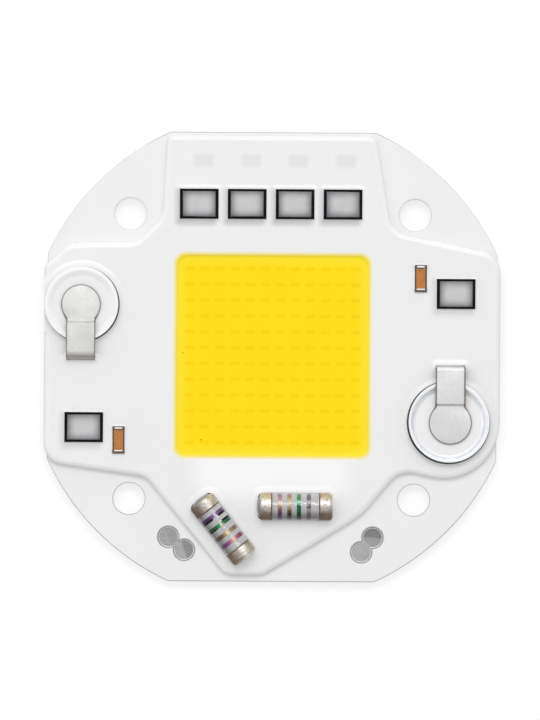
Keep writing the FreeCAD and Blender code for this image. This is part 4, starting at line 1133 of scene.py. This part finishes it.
def pick_end(piece, way):
    """In edit mode, select the round face at the end that points to +X or -X."""
    pick(piece, "FACE", lambda face: face.normal.x * way > 0.9 and len(face.verts) > 8)


def end_cap(name, wall_length, bulge, round_off):
    """Pressed cap at the +X end of a body: a rolled inner lip, a round wall and its end."""
    wall = MELF_LENGTH / 2 - bulge
    piece = rod(name, wall - wall_length, wall, CAP_RADIUS)
    edit(piece)
    pick_end(piece, -1)
    bpy.ops.mesh.bevel(offset=0.13 * MM, segments=5, affect="EDGES")
    pick_end(piece, 1)
    bpy.ops.mesh.bevel(offset=round_off, segments=8, affect="EDGES")
    pick_end(piece, 1)
    bpy.ops.mesh.inset(thickness=0.06 * MM, depth=0)
    bpy.ops.mesh.inset(thickness=0.05 * MM, depth=-0.08 * MM)
    step_inwards(dome, 7, 8, CAP_RADIUS - round_off - 0.12 * MM, bulge + 0.04 * MM)
    pick_end(piece, -1)
    bpy.ops.mesh.inset(thickness=CAP_RADIUS - COAT_RADIUS - 0.11 * MM, depth=0)
    bpy.ops.mesh.inset(thickness=0.01 * MM, depth=-0.3 * MM)
    leave()
    return piece


def pool(name, settings):
    """Phosphor filling its window, whose edge climbs the dam and laps onto its round crest."""
    piece = sheet(name, FIELD_SIZE.x, FIELD_SIZE.y)
    pick_all("VERT")
    bpy.ops.mesh.bevel(offset=1.9 * MM, segments=12, affect="VERTICES")
    pick_all("FACE")
    lap, crest, shelf = 0.20 * MM, 0.22 * MM, 0.26 * MM
    extrude(FIELD_SIZE.z + settings.edge_rise - crest)
    extrude(crest)
    bpy.ops.transform.resize(value=(1 + 2 * lap / FIELD_SIZE.x, 1 + 2 * lap / FIELD_SIZE.y, 1))
    bpy.ops.mesh.inset(thickness=lap + shelf)
    step_inwards(dome, 6, 6, settings.edge_reach, -settings.edge_rise)
    leave()
    return settle(piece, over("phosphor_fill", FIELD_LOW.z))


def softened(node, name, width):
    """A copy of a CAD node whose sharp edges are rounded."""
    piece = node_copy(node, name)
    add_modifier(piece, "BEVEL", width=width, segments=3, limit_method="ANGLE",
                 angle_limit=math.radians(40), use_clamp_overlap=True)
    return smooth(piece, 50)


# Operators: one for each piece or group of pieces, and one for the stage

class COBLED_OT_board(bpy.types.Operator):
    """Finish the plate, the layers on it and the parts that keep their CAD shape"""
    bl_idname = "cobled.board"
    bl_label = "Board and Hidden Parts"

    def execute(self, context):
        potting = context.scene.cobled_potting
        packages = context.scene.cobled_packages
        tin = grained_metal("Bright tin", (0.72, 0.72, 0.72), roughness=0.32, grain=2600.0,
                            depth=0.003)[0]
        resin = resin_finish(packages.black)
        finishes = {
            "base_plate": aluminium_finish(),
            "insulating_layer": insulation_finish(),
            "copper_tracks": plain_finish("Rolled copper", (0.80, 0.42, 0.27), 0.35, 900.0,
                                          Metallic=1.0),
            "solder_pads": plain_finish("Solder", (0.66, 0.66, 0.64), 0.35, 1500.0, Metallic=1.0),
            "white_mask": mask_finish(potting.mask_white),
            "led_dies": plain_finish("Die sapphire", (0.55, 0.62, 0.70), 0.1, 2000.0),
            "led_dam": dam_finish(potting.white, context.scene.cobled_field.rim),
            "overmould": potting_finish(potting.white),
            "set_resistor_ends": tin,
        }
        alumina = plain_finish("Resistor glaze", (0.10, 0.105, 0.11), 0.35, 1800.0)
        finishes.update({node: alumina for node in SET_RESISTORS})
        finishes.update({node: resin for node in PACKAGES})
        finishes.update({node + "_leads": tin for node in PACKAGES})
        for node, finish in finishes.items():
            paint(node, finish)
        return {"FINISHED"}


class COBLED_OT_light_field(bpy.types.Operator):
    """Pour the phosphor into its window"""
    bl_idname = "cobled.light_field"
    bl_label = "Light Field"

    def execute(self, context):
        settings = context.scene.cobled_field
        white = context.scene.cobled_potting.white
        piece = smooth(pool("phosphor_pool", settings), 60)
        finished(piece, "phosphor", phosphor_finish(settings, white), replaces=["phosphor_fill"])
        return {"FINISHED"}


class COBLED_OT_films(bpy.types.Operator):
    """Lay a milky film on each package"""
    bl_idname = "cobled.films"
    bl_label = "Milky Films"

    def execute(self, context):
        settings = context.scene.cobled_packages
        films = []
        for seed, node in enumerate(PACKAGES):
            film = make_film("film_%d" % seed, node, settings.film_rise)
            wavered(film, settings.film_waver, seed)
            films.append(settle(film, over(node, PACKAGE_TOP)))
        piece = smooth(joined("milky_films", films), 50)
        finished(piece, "milky_film", film_finish(settings), replaces=["package_films"])
        return {"FINISHED"}


class COBLED_OT_skirts(bpy.types.Operator):
    """Let the white potting climb the sides of the parts that stand in it"""
    bl_idname = "cobled.skirts"
    bl_label = "Potting Skirts"

    def execute(self, context):
        settings = context.scene.cobled_potting
        foot = POTTING_TOP - 0.01 * MM
        limit = POTTED_EDGE - 0.02 * MM
        rings = []

        def surround(node, size_x, size_y, corner, reach, climb, turn=0.0, curve=cove):
            ring = skirt(node + "_skirt", size_x, size_y, corner, reach, climb, foot, curve)
            rings.append(settle(ring, over(node), turn))

        for node in PACKAGES:
            size = extent(node)
            climb = settings.package_climb * (0.4 if node in RECTIFIERS else 1.0)
            surround(node, size.x - 0.12 * MM, size.y - 0.12 * MM, corner=0.02 * MM,
                     reach=settings.package_reach, climb=climb)
        for node in CAPACITORS:
            size = extent(node + "_ends")
            surround(node, size.x - 0.04 * MM, size.y - 0.04 * MM, corner=0.12 * MM,
                     reach=0.35 * MM, climb=0.16 * MM)
        for name, turn in zip(MELFS, (0.0, context.scene.cobled_resistors.slant)):
            surround("melf_" + name, MELF_LENGTH - 0.35 * MM, CAP_RADIUS * 2 - 0.1 * MM,
                     corner=0.7 * MM, reach=settings.melf_reach, climb=settings.melf_climb,
                     turn=turn, curve=mound)
        for side, climb in zip(SIDES, (settings.left_climb, settings.right_climb)):
            cup = "terminal_cup_" + side
            ring = round_skirt(cup + "_skirt", extent(cup).x / 2 - 0.01 * MM, settings.cup_reach,
                               climb, foot)
            rings.append(trimmed(settle(ring, over(cup)), -limit if side == "left" else limit,
                                 keep_left=side == "right"))
            low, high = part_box("contact_" + side)
            leg = (low.y + 0.75 * MM) if side == "left" else (high.y - 0.75 * MM)
            ring = skirt(side + "_leg_skirt", TAB_WIDTH, 0.3 * MM, corner=0.02 * MM,
                         reach=settings.leg_reach, climb=settings.leg_climb, foot=foot)
            rings.append(settle(ring, ((low.x + high.x) / 2, leg, 0)))
        piece = smooth(face_out(joined("potting_skirts", rings)), 50)
        finished(piece, "white_silicone", skirt_finish(settings.white))
        return {"FINISHED"}


class COBLED_OT_capacitors(bpy.types.Operator):
    """Round and finish the brown capacitors and their plated ends"""
    bl_idname = "cobled.capacitors"
    bl_label = "Capacitors"

    def execute(self, context):
        ceramic = ceramic_finish()
        plating = plated_end_finish()
        for node in CAPACITORS:
            body = softened(node, node + "_body", 0.05 * MM)
            finished(body, "brown_ceramic", ceramic, replaces=[node])
            paint(node + "_ends", plating)
        return {"FINISHED"}


class COBLED_OT_resistors(bpy.types.Operator):
    """Build the round resistors: lacquered bodies with colour bands, and metal caps"""
    bl_idname = "cobled.resistors"
    bl_label = "Round Resistors"

    def execute(self, context):
        settings = context.scene.cobled_resistors
        end_metal = grained_metal("Cap ends", (0.42, 0.42, 0.43), roughness=0.4, grain=1700.0,
                                  depth=0.02, dark=0.7)[0]
        for name, turn in zip(MELFS, (0.0, settings.slant)):
            place = over("melf_" + name, MELF_AXIS)
            labels = ["Grey lacquer"] + [label for label, _ in BANDS[name]]
            finishes = [enamel(label, name, turn) for label in labels]
            finishes.append(enamel("Black", name, turn, gloss=0.1))
            body = banded_body(name, settings, finishes)
            smooth(settle(body, place, turn), 40)
            finished(body, "grey_lacquer", replaces=["melf_" + name])
            blunt = end_cap(name + "_blunt_cap", settings.blunt_cap, bulge=0.0, round_off=0.52 * MM)
            domed = end_cap(name + "_domed_cap", settings.domed_cap, bulge=DOME, round_off=0.3 * MM)
            settle(domed, turn=math.pi)
            caps = joined(name + "_resistor_caps", [blunt, domed])
            caps.data.materials.append(cap_finish(name, turn, settings))
            caps.data.materials.append(end_metal)
            edit(caps)
            domed_wall = -MELF_LENGTH / 2 + DOME + 0.01 * MM
            assign(caps, 1, lambda face: face.calc_center_median().x < domed_wall)
            leave()
            smooth(settle(caps, place, turn), 40)
            finished(caps, "cap_metal", replaces=["melf_caps_" + name])
        return {"FINISHED"}


class COBLED_OT_terminals(bpy.types.Operator):
    """Finish the terminal cups and their fill, and round the contact strips' edges"""
    bl_idname = "cobled.terminals"
    bl_label = "Terminals"

    def execute(self, context):
        settings = context.scene.cobled_terminals
        white = context.scene.cobled_potting.white
        cups = {"left": potted_cup_finish(), "right": plated_cup_finish()}
        fill = white_silicone("White cup fill", white)[0]
        metals = {
            "left": contact_finish("left", settings.metal, (1.01, 1.01, 1.01), (0.97, 0.97, 0.97),
                                   0.60, 0.003),
            "right": contact_finish("right", settings.metal, (1.06, 1.06, 1.07), (1.08, 1.08, 1.09),
                                    0.58, 0.008),
        }
        for side in SIDES:
            paint("terminal_cup_" + side, cups[side])
            paint("cup_fill_" + side, fill)
            strip = softened("contact_" + side, side + "_contact_strip", settings.bevel)
            finished(strip, "nickel", metals[side], replaces=["contact_" + side])
        return {"FINISHED"}


class COBLED_OT_stage(bpy.types.Operator):
    """Set up the floor, the softboxes, the sky and the camera"""
    bl_idname = "cobled.stage"
    bl_label = "Stage"

    def execute(self, context):
        settings = context.scene.cobled_stage
        deselect()
        bpy.ops.mesh.primitive_plane_add(size=4.0, location=(0, 0, -0.02 * MM))
        floor = named("floor")
        floor.data.materials.append(floor_finish())
        make_softbox("Key", (0, 0.31, 0.52), (0.5, 0.2), settings.key)
        make_softbox("Left fill", (-0.45, -0.05, 0.40), (0.3, 0.3), settings.key * 0.18)
        make_sky(settings)
        make_camera(settings)
        return {"FINISHED"}


def floor_finish():
    """White paper that stays white in the picture and in reflections, and keeps the shadow."""
    material, tree = new_material("Floor paper", Roughness=0.9, Specular_IOR_Level=0.0)
    fibre = toned(tree, (0.36, 0.36, 0.36), (0.355, 0.355, 0.355), 40.0)
    path = tree.nodes.new("ShaderNodeLightPath")
    seen = maths(tree, "MAXIMUM", path.outputs["Is Camera Ray"], maths(
        tree, "MAXIMUM", path.outputs["Is Glossy Ray"], path.outputs["Is Transmission Ray"]))
    return coloured(material, fibre, Emission_Color=(1, 1, 1, 1),
                    Emission_Strength=maths(tree, "MULTIPLY", seen, 0.68))


def make_softbox(name, place, size, radiance):
    """A rectangular lamp that faces the part, with this radiance over its face."""
    lamp = bpy.data.lights.new(name, "AREA")
    lamp.shape = "RECTANGLE"
    lamp.size, lamp.size_y = size
    lamp.energy = radiance * math.pi * size[0] * size[1]
    holder = bpy.data.objects.new(name, lamp)
    bpy.context.scene.collection.objects.link(holder)
    holder.location = place
    holder.rotation_euler = (-Vector(place)).to_track_quat("-Z", "Y").to_euler()


def make_sky(settings):
    """Pale sky, brighter above and towards +Y, with a dim spot where the camera hangs."""
    world = bpy.data.worlds.new("Sky")
    world.use_nodes = True
    bpy.context.scene.world = world
    tree = world.node_tree
    background = tree.nodes["Background"]
    split = tree.nodes.new("ShaderNodeSeparateXYZ")
    feed(tree, split, Vector=tree.nodes.new("ShaderNodeTexCoord").outputs["Generated"])
    up = maths(tree, "MAXIMUM", split.outputs["Z"], 0.0)
    level = maths(tree, "MULTIPLY_ADD", up, settings.zenith - settings.horizon, settings.horizon)
    lean = maths(tree, "MULTIPLY_ADD", split.outputs["Y"], 0.22, level)
    lean = maths(tree, "MULTIPLY", lean, ramp(tree, up, 0.975, 0.99, 1.0, 0.35))
    path = tree.nodes.new("ShaderNodeLightPath")
    seen = maths(tree, "MAXIMUM", path.outputs["Is Camera Ray"],
                 path.outputs["Is Transmission Ray"])
    mix = tree.nodes.new("ShaderNodeMix")
    mix.data_type = "FLOAT"
    feed(tree, mix, i0=seen, i2=lean, i3=1.0)
    feed(tree, background, Color=(1, 1, 1, 1), Strength=mix.outputs[0])


def make_camera(settings):
    """Camera straight above the part, a long way off, with the picture's small roll."""
    distance = 1.2
    picture = (540, 720)
    seen_centre = (272.1, 357.0)
    lens = bpy.data.cameras.new("Camera")
    lens.sensor_fit = "VERTICAL"
    lens.sensor_height = 36.0
    lens.lens = lens.sensor_height * (distance - POTTING_TOP) / (picture[1] * settings.pixel)
    lens.clip_end = 20.0
    camera = bpy.data.objects.new("Camera", lens)
    bpy.context.scene.collection.objects.link(camera)
    roll = math.radians(0.36)
    shift = Matrix.Rotation(roll, 3, "Z") @ Vector(
        ((picture[0] / 2 - seen_centre[0]) * settings.pixel,
         (seen_centre[1] - picture[1] / 2) * settings.pixel, 0))
    camera.location = (shift.x, shift.y, distance)
    camera.rotation_euler = (0, 0, roll)
    bpy.context.scene.camera = camera
    bpy.context.scene.view_settings.view_transform = "Standard"


class COBLED_PT_panel(bpy.types.Panel):
    """Settings and steps of the LED module's dressing"""
    bl_idname = "COBLED_PT_panel"
    bl_label = "COB LED"
    bl_space_type = "VIEW_3D"
    bl_region_type = "UI"
    bl_category = "COB LED"

    def draw(self, context):
        for name, kind in SETTINGS.items():
            box = self.layout.box()
            for key in kind.__annotations__:
                box.prop(getattr(context.scene, name), key)
        for operator in OPERATORS:
            self.layout.operator(operator.bl_idname)


SETTINGS = {
    "cobled_potting": PottingSettings,
    "cobled_field": LightFieldSettings,
    "cobled_packages": PackageSettings,
    "cobled_resistors": ResistorSettings,
    "cobled_terminals": TerminalSettings,
    "cobled_stage": StageSettings,
}
OPERATORS = (COBLED_OT_board, COBLED_OT_light_field, COBLED_OT_films, COBLED_OT_skirts,
             COBLED_OT_capacitors, COBLED_OT_resistors, COBLED_OT_terminals, COBLED_OT_stage)
CLASSES = (*SETTINGS.values(), *OPERATORS, COBLED_PT_panel)


def register():
    for kind in CLASSES:
        bpy.utils.register_class(kind)
    for name, kind in SETTINGS.items():
        setattr(bpy.types.Scene, name, PointerProperty(type=kind))


def unregister():
    for name in SETTINGS:
        delattr(bpy.types.Scene, name)
    for kind in reversed(CLASSES):
        bpy.utils.unregister_class(kind)


def main():
    register()
    make_groups()
    bpy.ops.cobled.board()
    bpy.ops.cobled.light_field()
    bpy.ops.cobled.films()
    bpy.ops.cobled.skirts()
    bpy.ops.cobled.capacitors()
    bpy.ops.cobled.resistors()
    bpy.ops.cobled.terminals()
    bpy.ops.cobled.stage()
    deselect()
    bpy.context.view_layer.update()


if __name__ == "__main__":
    main()
